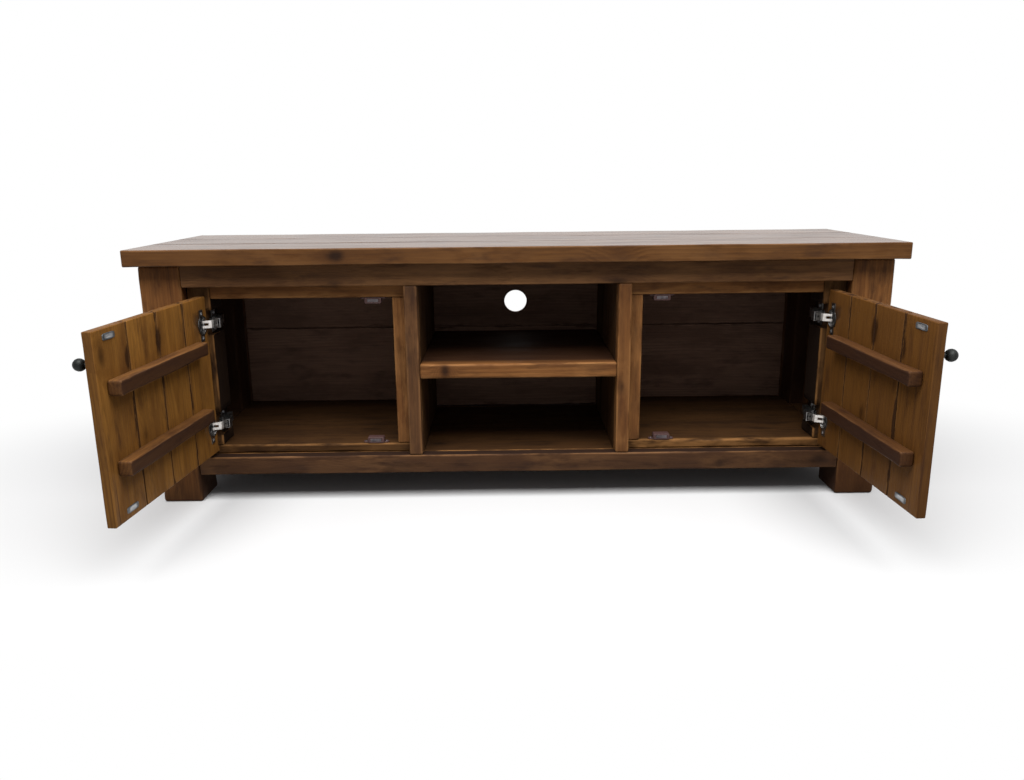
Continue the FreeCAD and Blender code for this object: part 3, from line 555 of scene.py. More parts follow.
CABLE_HOLE_RADIUS, CABLE_HOLE_DEPTH = 0.027, 0.03
CABLE_HOLE_PLACE = Vector((0, 0.192, 0.355))
ALONG_Y = Matrix.Rotation(math.radians(90), 4, "X")
cable_borer = borer(CABLE_HOLE_RADIUS, CABLE_HOLE_DEPTH, Matrix.Translation(CABLE_HOLE_PLACE) @ ALONG_Y)
lower_low, lower_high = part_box("back_board_lower")
lower_high.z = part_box("back_board_cable")[0].z - PANEL_JOINT
lower_board = board(
    "back_board_lower_wood", lower_low, lower_high, "x", back_pine, slot="pine_inner", stained=()
)
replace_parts(lower_board, "back_board_lower")
joint_tongue("back_board_tongue", lower_low, lower_high, "x", "z", PANEL_JOINT, back_pine)
whole_board("back_board_cable", "x", back_pine, cutters=[cable_borer], slot="pine_inner", stained=())


# Stiles and partitions: two pine uprights frame the open bay, each with a wide partition board behind it.
# The partitions run to the back and are notched round the rear rails.
def box_cutter(low, high):
    """A squared cutter between two corners."""
    corners = [[(a, b)[k] for a, b, k in zip(low, high, bits)] for bits in np.ndindex(2, 2, 2)]
    sides = [(0, 1, 3, 2), (4, 6, 7, 5), (0, 4, 5, 1), (2, 3, 7, 6), (0, 2, 6, 4), (1, 5, 7, 3)]
    return mesh_piece("cutter", corners, sides, inner_pine_shaded)


STILE_WORK = {"ease": 0.004, "planing": 0.0006}
STILE_FINISHES = {"left": (rail_pine, 0.9), "right": (frame_pine, 0.9)}
CUT_SPARE = 0.02
REAR_RAIL_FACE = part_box("rail_top_rear")[0].y
for side in SIDES:
    finish, tone = STILE_FINISHES[side]
    whole_board("stile_" + side, "z", finish, slot="pine_frame", tone=tone, **STILE_WORK)
    low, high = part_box("partition_" + side)
    notches = []
    lower_notch = (low.z - CUT_SPARE, RAIL_HEIGHTS["bottom"][1])
    upper_notch = (RAIL_HEIGHTS["top"][0], high.z + CUT_SPARE)
    for under, over in (lower_notch, upper_notch):
        notch_low = (low.x - CUT_SPARE, REAR_RAIL_FACE, under)
        notches.append(box_cutter(notch_low, (high.x + CUT_SPARE, high.y + CUT_SPARE, over)))
    whole_board("partition_" + side, "z", inner_pine_shaded, slot="pine_inner", cutters=notches, stained=())


# Floors, bearers and shelf: pine boards that rest on bearers glued behind the lower rails.
# The shelf is thicker and its front edge comes flush with the stiles, rubbed pale on its arrises, and the
# right floor's front edge is rubbed more than the left one's.
FLOOR_EASE, FLOOR_RUB = 0.004, 0.014
rubbed_pine = waxed_pine("rubbed_pine", INNER_STAIN_AND_SHADE, rub=FLOOR_RUB, **INNER_FINISH)
FLOOR_FINISHES = {"left": inner_pine_shaded, "right": rubbed_pine}
post_behind, rear_post_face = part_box("post_front_left")[1].y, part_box("post_rear_left")[0].y
for side in SIDES:
    low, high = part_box("floor_" + side)
    post_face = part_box("post_front_" + side)[1 if side == "left" else 0].x
    outer, inner = (low.x, high.x) if side == "left" else (high.x, low.x)
    for part, ends, depths in (
        ("main", sorted((post_face, inner)), (low.y, high.y)),
        ("lug", sorted((outer, post_face)), (post_behind, rear_post_face)),
    ):
        piece = board(
            f"floor_{side}_{part}", (ends[0], depths[0], low.z), (ends[1], depths[1], high.z), "x",
            FLOOR_FINISHES[side], ease=FLOOR_EASE, slot="pine_inner", stained=(),
        )
        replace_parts(piece, "floor_" + side)
whole_board("floor_centre", "x", inner_pine_shaded, slot="pine_inner", stained=())

BEARER_SIZE = 0.020
low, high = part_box("floor_bearers")
bay_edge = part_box("floor_centre")[1].x
partition_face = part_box("partition_right")[1].x
bearers = {
    "left": (low.x, -partition_face, low.y, high.z - BEARER_SIZE),
    "right": (partition_face, high.x, low.y, high.z - BEARER_SIZE),
    "bay_front": (-bay_edge, bay_edge, low.y, low.z),
    "bay_rear": (-bay_edge, bay_edge, high.y - BEARER_SIZE, low.z),
}
for spot, (start, end, front, under) in bearers.items():
    bearer_high = (end, front + BEARER_SIZE, under + BEARER_SIZE)
    bearer = board("bearer_" + spot, (start, front, under), bearer_high, "x", inner_pine_shaded, slot="pine_inner")
    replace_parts(bearer, "floor_bearers")

SHELF_WORK = {"ease": 0.0045, "planing": 0.0006, "tone": 0.35}
low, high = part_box("centre_shelf")
SHELF_KNOT = ((-0.147, low.y, 0.271), (0.013, 0.009, 0.02))
shelf = board(
    "centre_shelf_wood", (-bay_edge, low.y, low.z), (bay_edge, high.y, high.z), "x", frame_pine,
    slot="pine_frame", knot=SHELF_KNOT, **SHELF_WORK,
)
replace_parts(shelf, "centre_shelf")


# Stop frame: battens glued behind the posts, the head and the stiles, which the doors shut against.
# The battens at the posts are deeper, and are housed for the hinges' mounting plates.
STOP_RUB, SIDE_STOP_TONE = 0.02, 0.4
stop_pine = waxed_pine("stop_pine", FRAME_STAIN, rub=STOP_RUB)
HOUSING_DEPTH, HOUSING_HEIGHT = 0.0112, 0.05
HINGE_HEIGHTS = (0.160, 0.369)
for side in SIDES:
    low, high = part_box("hinge_batten_" + side)
    inner_face = high.x if side == "left" else low.x
    housings = []
    for height in HINGE_HEIGHTS:
        cutter_low = (inner_face - HOUSING_DEPTH, low.y - CUT_SPARE, height - HOUSING_HEIGHT / 2)
        cutter_high = (inner_face + HOUSING_DEPTH, high.y + CUT_SPARE, height + HOUSING_HEIGHT / 2)
        housings.append(box_cutter(cutter_low, cutter_high))
    whole_board("hinge_batten_" + side, "z", inner_pine_shaded, cutters=housings, slot="pine_frame")
    whole_board("stop_top_" + side, "x", stop_pine, slot="pine_inner", tone=0.0)
    whole_board("stop_side_" + side, "z", frame_pine, slot="pine_inner", tone=SIDE_STOP_TONE)


# Top: three wide pine planks glued edge to edge, with a deep overhang at the front.
# Its stain is darker, and wax has been built up on it, so it takes a soft sheen.
TOP_STAIN = ((0.150, 0.064, 0.018), (0.088, 0.034, 0.009), (0.028, 0.012, 0.007), (0.190, 0.088, 0.030))
top_pine = waxed_pine(
    "top_pine", TOP_STAIN, gloss=0.2, knots=0.2, open_grain=0.0001, patches=0.25, grime=0.1, streaks=0.3
)
top_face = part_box("top_board_front")[1].z
TOP_KNOTS = {
    "front": ((-0.345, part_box("top_board_front")[0].y, 0.504), (0.022, 0.02, 0.014)),
    "middle": ((0.31, 0.02, top_face), (0.015, 0.011, 0.02)),
    "rear": ((-0.5, 0.15, top_face), (0.012, 0.009, 0.02)),
}
TOP_EASE = 0.0026
TOP_WORK = {"ease": TOP_EASE, "planing": 0.0006, "stain": 0.7, "slot": "pine_top"}
plank_joints = [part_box("top_board_" + row)[0].y for row in ("middle", "rear")]
dark_joints = [((-1, y - TOP_EASE, 0), (1, y + TOP_EASE, 1)) for y in plank_joints]
for row, knot in TOP_KNOTS.items():
    whole_board("top_board_" + row, "x", top_pine, knot=knot, stained=dark_joints, **TOP_WORK)


# Catches: four small magnetic catches, each a moulded body with its magnet, screwed on by an ear at each end.
# The bodies are brown moulded plastic, and the magnets and screws are bare steel.
CATCH_BROWN, CATCH_BROWN_PALE = (0.052, 0.026, 0.024), (0.090, 0.046, 0.042)
CATCH_SPECULAR = 0.25
MOTTLE_SCALE, PEBBLE_SCALE = [180.0] * 3, [2600.0] * 3


def moulded_brown():
    """Brown plastic with a fine moulded grain and slightly uneven gloss."""
    material, shader, start = new_finish("moulded_brown")
    spot = start.node("TexCoord", out="Object")
    mottle = spot.noise(MOTTLE_SCALE)
    pebble = spot.noise(PEBBLE_SCALE, 2.0)
    colour = mottle.tint(CATCH_BROWN, CATCH_BROWN_PALE)
    shader.inputs["Specular IOR Level"].default_value = CATCH_SPECULAR
    join_up(shader, Base_Color=colour, Roughness=0.38 + mottle * 0.2, Normal=pebble.relief(0.0001, 0.5))
    return material


# The dark colour of the painted shade on the links, its soft edge and its wobble.
LINK_SHADE_COLOUR, LINK_SHADE_EDGE, LINK_SHADE_WOBBLE = (0.045, 0.040, 0.036), 0.001, 0.003
# The pale zinc of the painted highlight in the middle of the strike plates, and where it fades.
HIGHLIGHT_ZINC, HIGHLIGHT_FADE = (0.56, 0.57, 0.58), (0.4, 0.85)
PATCH_SCALE = [90.0] * 3
SCRATCH_STRETCH, SCRATCH_DEPTH = 8, 0.00004


def plain_metal(name, colours, rough, scratch=400.0, metallic=1.0, shaded_from=None, rub_and_highlight=False):
    """Plated or bare metal: two tones in soft patches, with fine scratches in its gloss and relief.

    Behind the shade depth the metal is painted dark and made dull: a painted shade on the links' inner ends.
    A highlighted plate has a painted highlight: it is pale in the middle of its rings, which its ring
    attribute numbers from 0 to 1.
    """
    material, shader, start = new_finish(name)
    spot = start.node("TexCoord", out="Object")
    patch = spot.noise(PATCH_SCALE, 4.0, 0.6)
    line = spot.noise((scratch, scratch, scratch * SCRATCH_STRETCH), 3.0, 0.6)
    plated = patch.smooth(0.35, 0.7).tint(*colours)
    gloss = rough + patch.swing(0.16) + line.swing(0.12)
    if shaded_from is not None:
        # Painted shade: dark, dull metal behind the depth.
        depth = start.node("SeparateXYZ", inputs={"Vector": spot}, out="Y") + patch.swing(LINK_SHADE_WOBBLE)
        painted_shade = depth.smooth(shaded_from - LINK_SHADE_EDGE, shaded_from + LINK_SHADE_EDGE)
        plated = (painted_shade * 0.9).tint(plated, LINK_SHADE_COLOUR)
        gloss = gloss + painted_shade * 0.2
    # Painted highlight: pale zinc in the middle of the plate.
    if rub_and_highlight:
        ring = start.held("ring", "Fac") + patch.swing(0.5)
        plated = (1.0 - ring.smooth(*HIGHLIGHT_FADE)).tint(plated, HIGHLIGHT_ZINC)
    shader.inputs["Metallic"].default_value = metallic
    join_up(shader, Base_Color=plated, Roughness=gloss, Normal=line.relief(SCRATCH_DEPTH, 0.6))
    return material


catch_brown = moulded_brown()
STEEL_COLOURS = ((0.135, 0.115, 0.120), (0.075, 0.065, 0.068))
magnet_steel = plain_metal("magnet_steel", STEEL_COLOURS, 0.5)
BODY_OF = {node: body for body, held in frame["record"]["behaviour"]["bodies"].items() for node in held}
WELD = 0.000002
FLAT_ANGLE = 1
ARRIS_STEPS = 2


def softened(node, finish, arris, cutters=None):
    """A merged copy of a CAD node that stands for it, with its sharp edges rounded to a small arris.

    Cutters work on its triangles, and only then are the triangles of each flat face joined.
    """
    grid = bmesh.new()
    grid.from_mesh(frame["nodes"][node].data)
    bmesh.ops.remove_doubles(grid, verts=grid.verts, dist=WELD)
    mesh = bpy.data.meshes.new(node + "_worked")
    grid.to_mesh(mesh)
    piece = in_scene(node + "_worked", mesh)
    if cutters:
        cut_by(piece, cutters(mesh), "MANIFOLD")
        grid.clear()
        grid.from_mesh(piece.data)
    bmesh.ops.dissolve_limit(grid, angle_limit=math.radians(FLAT_ANGLE), verts=grid.verts, edges=grid.edges)
    grid.to_mesh(piece.data)
    grid.free()
    piece.data.materials.clear()
    piece.data.materials.append(finish)
    piece.data.shade_smooth()
    edges = piece.modifiers.new("arris", "BEVEL")
    edges.width = arris
    edges.segments = ARRIS_STEPS
    edges.limit_method = "ANGLE"
    edges.angle_limit = math.radians(SHARP_ANGLE)
    edges.harden_normals = True
    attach(piece, BODY_OF[node])
    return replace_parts(piece, node)


def loose_solids(mesh):
    """The points of each separate solid in a mesh: every point takes the lowest number along its edges."""
    ends = np.empty(len(mesh.edges) * 2, int)
    mesh.edges.foreach_get("vertices", ends)
    first, second = ends.reshape(-1, 2).T
    label, before = np.arange(len(mesh.vertices)), None
    while before is None or np.any(label != before):
        before = label.copy()
        lowest = np.minimum(label[first], label[second])
        np.minimum.at(label, first, lowest)
        np.minimum.at(label, second, lowest)
    points = point_places(mesh)
    return [points[label == number] for number in np.unique(label)]


CROSS_REACH, CROSS_HALF, CROSS_DEPTH = 0.66, 0.14, 0.0009
SCREW_SPIN = 0.9


def cross_cutters(mesh):
    """Two crossed cutters for each screw in a mesh, sunk into its head.

    A screw's axis is the direction in which its points spread most, and its head is at its wider end.
    """
    cutters = []
    for number, points in enumerate(loose_solids(mesh)):
        middle = points.mean(axis=0)
        spread = points - middle
        axis = np.linalg.svd(spread)[2][0]
        height = spread @ axis
        radius = np.linalg.norm(spread - height[:, None] * axis, axis=1)
        if height[radius.argmax()] < (height.min() + height.max()) / 2:
            axis, height = -axis, -height
        head = Vector(middle + axis * height.max())
        turn = Vector(axis).to_track_quat("Z", "Y").to_matrix().to_4x4()
        reach, half = CROSS_REACH * radius.max(), CROSS_HALF * radius.max()
        for quarter in (0, math.pi / 2):
            cutter = box_cutter((-reach, -half, -CROSS_DEPTH), (reach, half, CROSS_DEPTH))
            spin = Matrix.Rotation(SCREW_SPIN * number + quarter, 4, "Z")
            cutter.data.transform(Matrix.Translation(head) @ turn @ spin)
            cutters.append(cutter)
    return cutters


EAR_REACH, EAR_HALF, EAR_THICK, EAR_SUNK = 0.0095, 0.006, 0.0028, 0.0015
EAR_POINTS = 17


def ear_surface():
    """A fixing ear: a tab with a half-round end, whose outline is carried from the wood to its upper face."""
    turn = np.linspace(-math.pi / 2, math.pi / 2, EAR_POINTS)
    along = np.concatenate(([-EAR_SUNK], EAR_REACH - EAR_HALF + EAR_HALF * np.cos(turn), [-EAR_SUNK]))
    across = np.concatenate(([-EAR_HALF], EAR_HALF * np.sin(turn), [EAR_HALF]))
    points = [np.column_stack((along, across, 0 * along + height)) for height in (0, EAR_THICK)]
    return np.concatenate(points), skin(2, len(along))


HEAD_RADIUS, HEAD_RISE, SHANK_RADIUS, SHANK_LENGTH = 0.0027, 0.0014, 0.0014, 0.012
DOME_END, DOME_RINGS, SCREW_AROUND = 0.48 * math.pi, 7, 24


def screw_surface():
    """A round-headed screw turned about z: a plain shank below the ear's face and a domed head above it."""
    dome = np.linspace(0, DOME_END, DOME_RINGS)
    radius = np.concatenate(([SHANK_RADIUS, SHANK_RADIUS], HEAD_RADIUS * np.cos(dome)))
    height = np.concatenate(([-SHANK_LENGTH, 0], HEAD_RISE * np.sin(dome)))
    return lathe_surface(np.column_stack((radius, height + EAR_THICK)), SCREW_AROUND)


def set_at(places, surface):
    """One surface at each place, as one list of points and one of faces."""
    points, faces = surface
    moved = [points @ np.array(place)[:3, :3].T + np.array(place)[:3, 3] for place in places]
    starts = range(0, len(places) * len(points), len(points))
    return np.concatenate(moved), [[point + start for point in face] for start in starts for face in faces]


CATCH_ARRIS, MAGNET_ARRIS, EAR_ARRIS = 0.0012, 0.0003, 0.0006
EAR_SCREW_SPOT = 0.0042
UPPER_CATCH = 0.25
catches = softened("catch_bodies", catch_brown, CATCH_ARRIS)
ear_places = []
for corners in loose_solids(catches.data):
    low, high = corners.min(axis=0), corners.max(axis=0)
    upper = low[2] > UPPER_CATCH
    faced = Matrix.Rotation(math.pi if upper else 0, 4, "X")
    for end, outward in ((low[0], math.pi), (high[0], 0)):
        seat = Matrix.Translation((end, (low[1] + high[1]) / 2, high[2] if upper else low[2]))
        ear_places.append(seat @ Matrix.Rotation(outward, 4, "Z") @ faced)
ears = mesh_piece("catch_ears", *set_at(ear_places, ear_surface()), catch_brown)
ear_edges = ears.modifiers.new("arris", "BEVEL")
ear_edges.width, ear_edges.segments = EAR_ARRIS, ARRIS_STEPS
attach(ears, "cabinet")
screw_places = [place @ Matrix.Translation((EAR_SCREW_SPOT, 0, 0)) for place in ear_places]
ear_screws = mesh_piece("catch_screws", *set_at(screw_places, screw_surface()), magnet_steel)
cut_by(ear_screws, cross_cutters(ear_screws.data), "MANIFOLD")
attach(ear_screws, "cabinet")
softened("catch_magnets", magnet_steel, MAGNET_ARRIS)


# Hinges: concealed cup hinges, two a door. The pressed plate is screwed into its housing, the arm clips over
# the plate, and a pair of links joins the arm to the cup in the door. The links are steel in bright nickel,
# the other parts in dull nickel, and the screws are zinc-plated. The links' inner ends are painted dark and
# dull, a painted shade where the arm covers them, and the dull nickel is dark partly as painted shade of
# the compartments.
# Where the painted shade on the links begins, along y.
LINK_SHADE_START = -0.1815
BRIGHT_NICKEL = ((0.74, 0.70, 0.66), (0.58, 0.54, 0.50))
# Dull nickel, darker than the plating would look, to stand in for the shade in the compartments: partly
# painted shade.
DULL_NICKEL_SHADED = ((0.24, 0.235, 0.23), (0.13, 0.125, 0.122))
ZINC = ((0.62, 0.63, 0.65), (0.45, 0.46, 0.48))
# The links' inner ends are painted dark and dull: painted shade where the arm covers them.
bright_nickel = plain_metal("bright_nickel", BRIGHT_NICKEL, 0.34, metallic=0.6, shaded_from=LINK_SHADE_START)
dull_nickel_shaded = plain_metal("dull_nickel_shaded", DULL_NICKEL_SHADED, 0.36)
zinc = plain_metal("zinc", ZINC, 0.4, metallic=0.7)
PLATE_ARRIS, LINK_ARRIS, CUP_ARRIS = 0.0003, 0.0004, 0.0002
for node in ("hinge_plates", "hinge_arms", "hinge_arm_pins"):
    softened(node, dull_nickel_shaded, PLATE_ARRIS)
softened("plate_screws", zinc, CUP_ARRIS, cross_cutters)
for side in SIDES:
    softened(side + "_hinge_links", bright_nickel, LINK_ARRIS)
    softened(side + "_hinge_cups", dull_nickel_shaded, CUP_ARRIS)
    softened(side + "_cup_pins", dull_nickel_shaded, CUP_ARRIS)
    softened(side + "_door_screws", zinc, CUP_ARRIS, cross_cutters)


# Doors: each is four upright pine boards held together by two ledges fixed across the inside.
# The boards are golden and knotty, bored for the hinge cups, and the joints between them are open and dark.
DOOR_WIDTH, DOOR_THICK = 0.400, 0.016
DOOR_BOARDS, DOOR_JOINT = 4, 0.0015
DOOR_WORK = {"ease": 0.002, "planing": 0.0005, "stain": 0.4, "slot": "pine_door"}
DOOR_TONES = {"left": (0.35, 0.4, 0.2, 0.45), "right": (1.2, 1.1, 1.25, 1.15)}
OPEN_ANGLES = {"left": 94.9, "right": 92.1}
CUP_RADIUS, CUP_DEPTH, CUP_SETBACK = 0.0176, 0.0116, 0.0225
DOOR_STAIN = ((0.330, 0.150, 0.030), (0.200, 0.083, 0.016), (0.048, 0.019, 0.008), (0.300, 0.140, 0.040))
door_pine = waxed_pine("door_pine", DOOR_STAIN, knots=0.16, streaks=0.85, grime=0.92, knot_edge=(0.5, 1.0))


def door_place(side):
    """Moves a shut door's own frame to the open door: x from the hinge edge, y from the inner face, z up.

    The turn is the opening angle, the right door is the mirror image, and the shift brings the turned door's
    box to the CAD node's box.
    """
    mirror = -1 if side == "right" else 1
    swing = Matrix.Rotation(math.radians(-mirror * OPEN_ANGLES[side]), 4, "Z")
    turn = swing @ Matrix.Diagonal((mirror, 1, 1, 1))
    corners = [turn @ Vector((x, y, 0)) for x in (0, DOOR_WIDTH) for y in (0, -DOOR_THICK)]
    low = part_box(side + "_door_boards")[0]
    shift = Vector((low.x - min(c.x for c in corners), low.y - min(c.y for c in corners), 0))
    return Matrix.Translation(shift) @ turn


EDGE_INSETS = (0.0006, 0.006)
FREE_EDGE, NEAR_FREE_EDGE = (((DOOR_WIDTH - inset, -1, -1), (1, 1, 1)) for inset in EDGE_INSETS)
SPLIT_SIZE, SPLIT_HEIGHTS = (0.030, 0.0150, 0.02), (0.374, 0.366)
SPLIT_SHARES = (0.5, 0.75)
split_joints = [(DOOR_WIDTH + DOOR_JOINT) * share - DOOR_JOINT / 2 for share in SPLIT_SHARES]
first_split, second_split = (((along, 0, z), SPLIT_SIZE) for along, z in zip(split_joints, SPLIT_HEIGHTS))
DOOR_SPLITS = (NO_KNOT, first_split, first_split, second_split)
LEDGE_STAIN = ((0.240, 0.108, 0.032), (0.140, 0.058, 0.017), (0.030, 0.012, 0.008), (0.360, 0.175, 0.070))
LEDGE_RUB = 0.0028
ledge_pine = waxed_pine("ledge_pine", LEDGE_STAIN, rub=LEDGE_RUB)
LEDGE_INSETS, LEDGE_THICK = (0.058, 0.024), 0.0245
LEDGE_WORK = {"ease": 0.0045, "planing": 0.0006, "stain": 0.85, "slot": "pine_ledge"}
LEDGE_SKIN = 0.001
LEDGE_TONES = {"left": 0.3, "right": 1.2}
LEDGE_FRONT = ((-1, LEDGE_THICK - LEDGE_SKIN, -1), (1, 1, 1))
for side in SIDES:
    place = door_place(side)
    body = side + "_door"
    low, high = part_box(side + "_door_boards")
    door_low, door_high = (0, -DOOR_THICK, low.z), (DOOR_WIDTH, 0, high.z)
    row = boards_in_row(door_low, door_high, "x", DOOR_BOARDS, DOOR_JOINT)
    for number, (corners, tone, split) in enumerate(zip(row, DOOR_TONES[side], DOOR_SPLITS), 1):
        cutters = []
        if number == 1:
            for height in HINGE_HEIGHTS:
                spot = Matrix.Translation((CUP_SETBACK, 0, height)) @ ALONG_Y
                cutters.append(borer(CUP_RADIUS, CUP_DEPTH, spot))
        piece = board(
            f"{side}_door_board_{number}", *corners, "z", door_pine, body, place=place, cutters=cutters,
            tone=tone, stained=(FREE_EDGE,), clean=(NEAR_FREE_EDGE,), knot=split, **DOOR_WORK,
        )
        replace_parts(piece, side + "_door_boards")
        if number < DOOR_BOARDS:
            name = f"{side}_door_tongue_{number}"
            joint_tongue(name, *corners, "z", "x", DOOR_JOINT, door_pine, body, place)
    for level in ("upper", "lower"):
        node = f"{side}_ledge_{level}"
        under, over = (corner.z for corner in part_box(node))
        ledge_low = (LEDGE_INSETS[0], 0, under)
        ledge_high = (DOOR_WIDTH - LEDGE_INSETS[1], LEDGE_THICK, over)
        # The ledges' undersides are painted darker: painted shade under them. Their outer faces take a darker
        # stain.
        ledge_under_shade = ((-1, -1, -1), (1, 1, under + LEDGE_SKIN))
        ledge = board(
            node + "_wood", ledge_low, ledge_high, "x", ledge_pine, body, place=place,
            tone=LEDGE_TONES[side], stained=(LEDGE_FRONT, ledge_under_shade), **LEDGE_WORK,
        )
        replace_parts(ledge, node)


# Strike plates: two pressed zinc plates on each door's inner face, which the magnets of the catches hold.
# Each has rounded ends, a rolled rim and a shallow dimple in the middle, which is painted pale: a painted
# highlight.
STRIKE_HALF, STRIKE_THICK, STRIKE_EDGE = (0.018, 0.0055), 0.0012, 0.35
STRIKE_PLACES = {"upper": (0.354, 0.41025), "lower": (0.346, 0.12025)}
STRIKE_ROUND, STRIKE_RIM = 5.0, 0.12
DIMPLE_DEPTH, DIMPLE_SPREAD = 0.0005, 0.4
LEAST_RING, FACE_RINGS, RIM_RINGS, PLATE_AROUND = 0.06, 12, 6, 48
STRIKE_ZINC = ((0.17, 0.18, 0.19), (0.07, 0.075, 0.08))
# The strike plates are pale in the middle: a painted highlight.
strike_zinc = plain_metal("strike_zinc", STRIKE_ZINC, 0.42, metallic=0.6, rub_and_highlight=True)
FACE_IN = Matrix.Rotation(math.radians(-90), 4, "X")


def pressed_plate():
    """A rounded plate about z: rings of one superellipse, from its middle to its rim and back underneath.

    A ring of share s has the outline's size times s. Its height is the thickness, less a quarter ellipse
    over the rim's last part and a bell-shaped dimple in the middle. The underside is flat.
    """
    face = np.linspace(LEAST_RING, 1 - STRIKE_RIM, FACE_RINGS)
    share = np.concatenate((face, 1 - STRIKE_RIM * np.linspace(1, 0, RIM_RINGS)[1:]))
    over = np.clip((share - 1 + STRIKE_RIM) / STRIKE_RIM, 0, 1)
    height = STRIKE_EDGE * STRIKE_THICK + (1 - STRIKE_EDGE) * STRIKE_THICK * np.sqrt(1 - over ** 2)
    height -= DIMPLE_DEPTH * np.exp(-((share / DIMPLE_SPREAD) ** 2))
    share = np.concatenate((share, [1.0, LEAST_RING]))[:, None]
    height = np.concatenate((height, [0.0, 0.0]))[:, None]
    angle = np.arange(PLATE_AROUND) * 2 * math.pi / PLATE_AROUND
    cos, sin = np.cos(angle), np.sin(angle)
    across = STRIKE_HALF[0] * np.sign(cos) * np.abs(cos) ** (2 / STRIKE_ROUND) * share
    up = STRIKE_HALF[1] * np.sign(sin) * np.abs(sin) ** (2 / STRIKE_ROUND) * share
    index = np.arange(across.size).reshape(across.shape)
    after = np.roll(index, -1, axis=1)
    quads = np.stack((index[:-1], index[1:], after[1:], after[:-1]), axis=-1).reshape(-1, 4)
    points = np.stack((across, up, np.broadcast_to(height, across.shape)), axis=-1).reshape(-1, 3)
    rings = np.broadcast_to(share, across.shape).ravel()
    return points, quads.tolist() + [index[0].tolist(), index[-1, ::-1].tolist()], rings


for side in SIDES:
    for level, (along, height) in STRIKE_PLACES.items():
        points, faces, rings = pressed_plate()
        plate = mesh_piece(f"{side}_strike_{level}", points, faces, strike_zinc)
        hold(plate.data, "ring", rings)
        settle(plate.data, door_place(side) @ Matrix.Translation((along, 0, height)) @ FACE_IN)
        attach(plate, side + "_door")
        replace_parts(plate, side + "_strike_plates")


# Knobs: one on each door, a black iron ball on a flared neck. The stud into the outermost board is not built.
# It is cast and blacked, so its face is slightly uneven.
KNOB_SPOT = (0.372, 0.367)
KNOB_REACH, KNOB_BALL = 0.026, 0.0105
KNOB_ROSE, KNOB_ROSE_HEIGHT = 0.0085, 0.005
KNOB_WAIST, KNOB_NECK = 0.0045, 0.0036
ROSE_RINGS, NECK_RINGS, BALL_RINGS, BALL_POLE = 7, 8, 26, 0.02
CAST_DEPTH, CAST_LEAST, CAST_WAVES = 0.00012, 0.002, ((5, 900), (3, -700))
KNOB_SHARP, KNOB_SCRATCH = 60, 900.0
BLACK_IRON = ((0.018, 0.019, 0.018), (0.040, 0.042, 0.040))
black_iron = plain_metal("black_iron", BLACK_IRON, 0.5, KNOB_SCRATCH)


def knob_outline():
    """A knob's half section from the door outwards: a rounded rose, a waisted neck and a ball."""
    rose = np.linspace(0, math.pi / 2, ROSE_RINGS)
    rose_radius = KNOB_WAIST + (KNOB_ROSE - KNOB_WAIST) * np.cos(rose)
    rose_height = KNOB_ROSE_HEIGHT * np.sin(rose)
    meets = math.asin(KNOB_NECK / KNOB_BALL)
    neck_end = KNOB_REACH - KNOB_BALL * math.cos(meets)
    share = np.linspace(0, 1, NECK_RINGS)[1:-1]
    neck_radius = KNOB_WAIST + (KNOB_NECK - KNOB_WAIST) * np.sin(share * math.pi / 2)
    neck_height = KNOB_ROSE_HEIGHT + (neck_end - KNOB_ROSE_HEIGHT) * share
    ball = np.linspace(meets, math.pi - BALL_POLE, BALL_RINGS)
    radius = np.concatenate((rose_radius, neck_radius, KNOB_BALL * np.sin(ball)))
    height = np.concatenate((rose_height, neck_height, KNOB_REACH - KNOB_BALL * np.cos(ball)))
    return np.column_stack((radius, height))


for side in SIDES:
    points, faces = lathe_surface(knob_outline())
    angle = np.arctan2(points[:, 1], points[:, 0])
    first, second = (np.sin(turns * angle + pace * points[:, 2]) for turns, pace in CAST_WAVES)
    reach = np.maximum(np.hypot(*points[:, :2].T), CAST_LEAST)
    points[:, :2] *= (1 - CAST_DEPTH * (1 + first * second) / reach)[:, None]
    knob = mesh_piece(side + "_knob_cast", points, faces, black_iron, KNOB_SHARP)
    spot = Matrix.Translation((KNOB_SPOT[0], -DOOR_THICK, KNOB_SPOT[1])) @ ALONG_Y
    settle(knob.data, door_place(side) @ spot)
    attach(knob, side + "_door")
    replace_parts(knob, side + "_knob")


# Studio: a pale floor, a white surround and one soft lamp, with the camera where the picture was taken from.
# The floor is white to the camera away from the unit and keeps the unit's shadow near it.
def seen_rays(start):
    """1 on rays that the camera sees, straight or by way of gloss or glass, and 0 on rays that only light."""
    camera_rays = start.node("LightPath", out="Is Camera Ray")
    seen = camera_rays
    for kind in ("Is Glossy Ray", "Is Transmission Ray"):
        seen = seen.math("MAXIMUM", seen, camera_rays.also(kind))
    return seen


WHITE = (1.0, 1.0, 1.0)
FLOOR_BOUNCE, FLOOR_SHADE, FLOOR_ROUGH = (0.30, 0.30, 0.30), (0.70, 0.70, 0.70), 0.9
FLOOR_OVAL, FLOOR_FADE = (0.55, 1.0, 0.0), (0.35, 0.9)


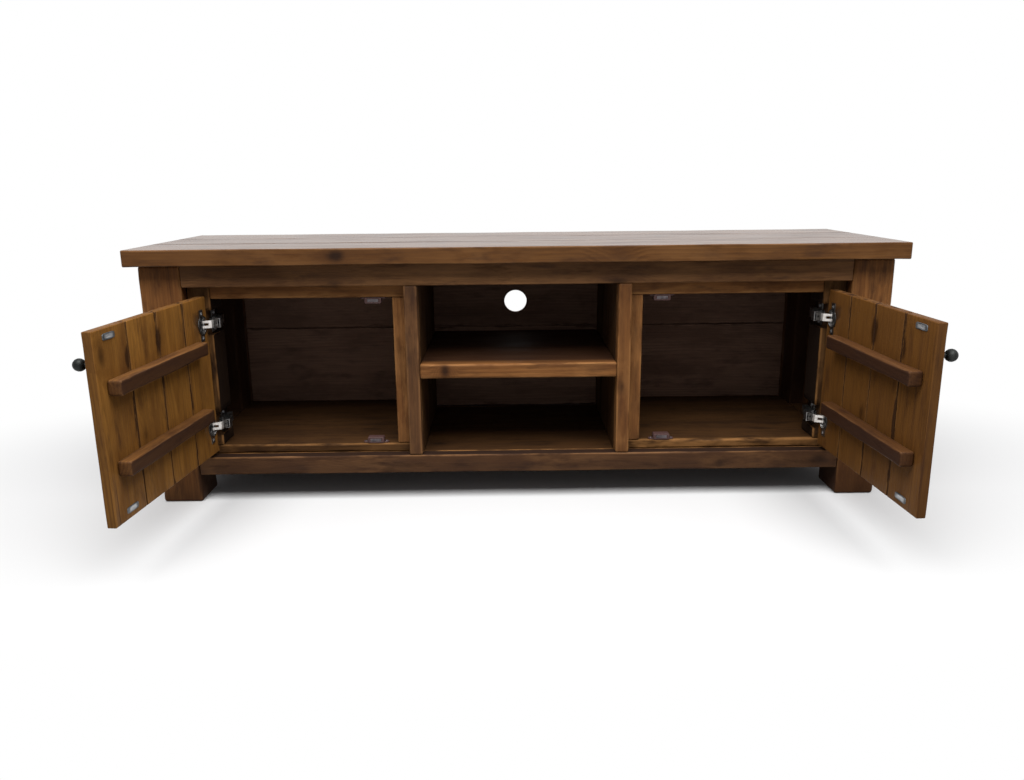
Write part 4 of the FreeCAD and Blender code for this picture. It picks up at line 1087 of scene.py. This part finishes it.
def studio_floor():
    """A pale floor that shades as matt white near the unit and fades to plain white around it."""
    material, shader, start = new_finish("studio_floor")
    seen = seen_rays(start)
    join_up(shader, Base_Color=seen.tint(FLOOR_BOUNCE, FLOOR_SHADE))
    shader.inputs["Roughness"].default_value = FLOOR_ROUGH
    shader.inputs["Specular IOR Level"].default_value = 0.0
    reach = start.node("TexCoord", out="Object").stretched(FLOOR_OVAL).length()
    white = start.node("Emission", inputs={"Color": (*WHITE, 1.0), "Strength": 1.0})
    surface = Wire(material.node_tree, shader.outputs[0])
    mixed = start.node("MixShader", inputs={0: reach.smooth(*FLOOR_FADE) * seen, 1: surface, 2: white})
    join_up(material.node_tree.nodes["Material Output"], Surface=mixed)
    return material


FLOOR_HALF = 12.0
floor_corners = [(x * FLOOR_HALF, y * FLOOR_HALF, 0) for x, y in ((-1, -1), (1, -1), (1, 1), (-1, 1))]
floor = mesh_piece("floor", floor_corners, [(0, 1, 2, 3)], studio_floor())

AMBIENT = (0.26, 0.26, 0.27)
world = bpy.data.worlds.new("studio")
bpy.context.scene.world = world
world.use_nodes = True
backdrop = world.node_tree.nodes["Background"]
join_up(backdrop, Color=seen_rays(Wire(world.node_tree)).tint(AMBIENT, WHITE))

LAMP_PLACE, LAMP_AIM = Vector((0, -1.25, 2.4)), Vector((0, -0.2, 0.2))
LAMP_WIDTH, LAMP_DEPTH, LAMP_POWER = 3.2, 1.7, 120
lamp = bpy.data.lights.new("overhead", "AREA")
lamp.shape = "RECTANGLE"
lamp.size, lamp.size_y, lamp.energy = LAMP_WIDTH, LAMP_DEPTH, LAMP_POWER
lamp_holder = in_scene("overhead", lamp)
lamp_holder.location = LAMP_PLACE
lamp_holder.rotation_euler = (LAMP_AIM - LAMP_PLACE).to_track_quat("-Z", "Y").to_euler()

CAMERA_PLACE = Vector((-0.02472, -1.83053, 0.64175))
CAMERA_YAW, CAMERA_PITCH, CAMERA_ROLL = -0.007, 0.247, -0.010
FOCAL_PIXELS, IMAGE_WIDTH, SENSOR_WIDTH = 837.7, 1024, 36
camera_data = bpy.data.cameras.new("camera")
camera_data.sensor_width = SENSOR_WIDTH
camera_data.lens = SENSOR_WIDTH * FOCAL_PIXELS / IMAGE_WIDTH
camera = in_scene("camera", camera_data)
heading = Matrix.Rotation(CAMERA_YAW, 4, "Z")
tilt = Matrix.Rotation(math.pi / 2 - CAMERA_PITCH, 4, "X")
roll = Matrix.Rotation(CAMERA_ROLL, 4, "Z")
camera.matrix_world = Matrix.Translation(CAMERA_PLACE) @ heading @ tilt @ roll
bpy.context.scene.camera = camera
bpy.context.scene.view_settings.view_transform = "Standard"
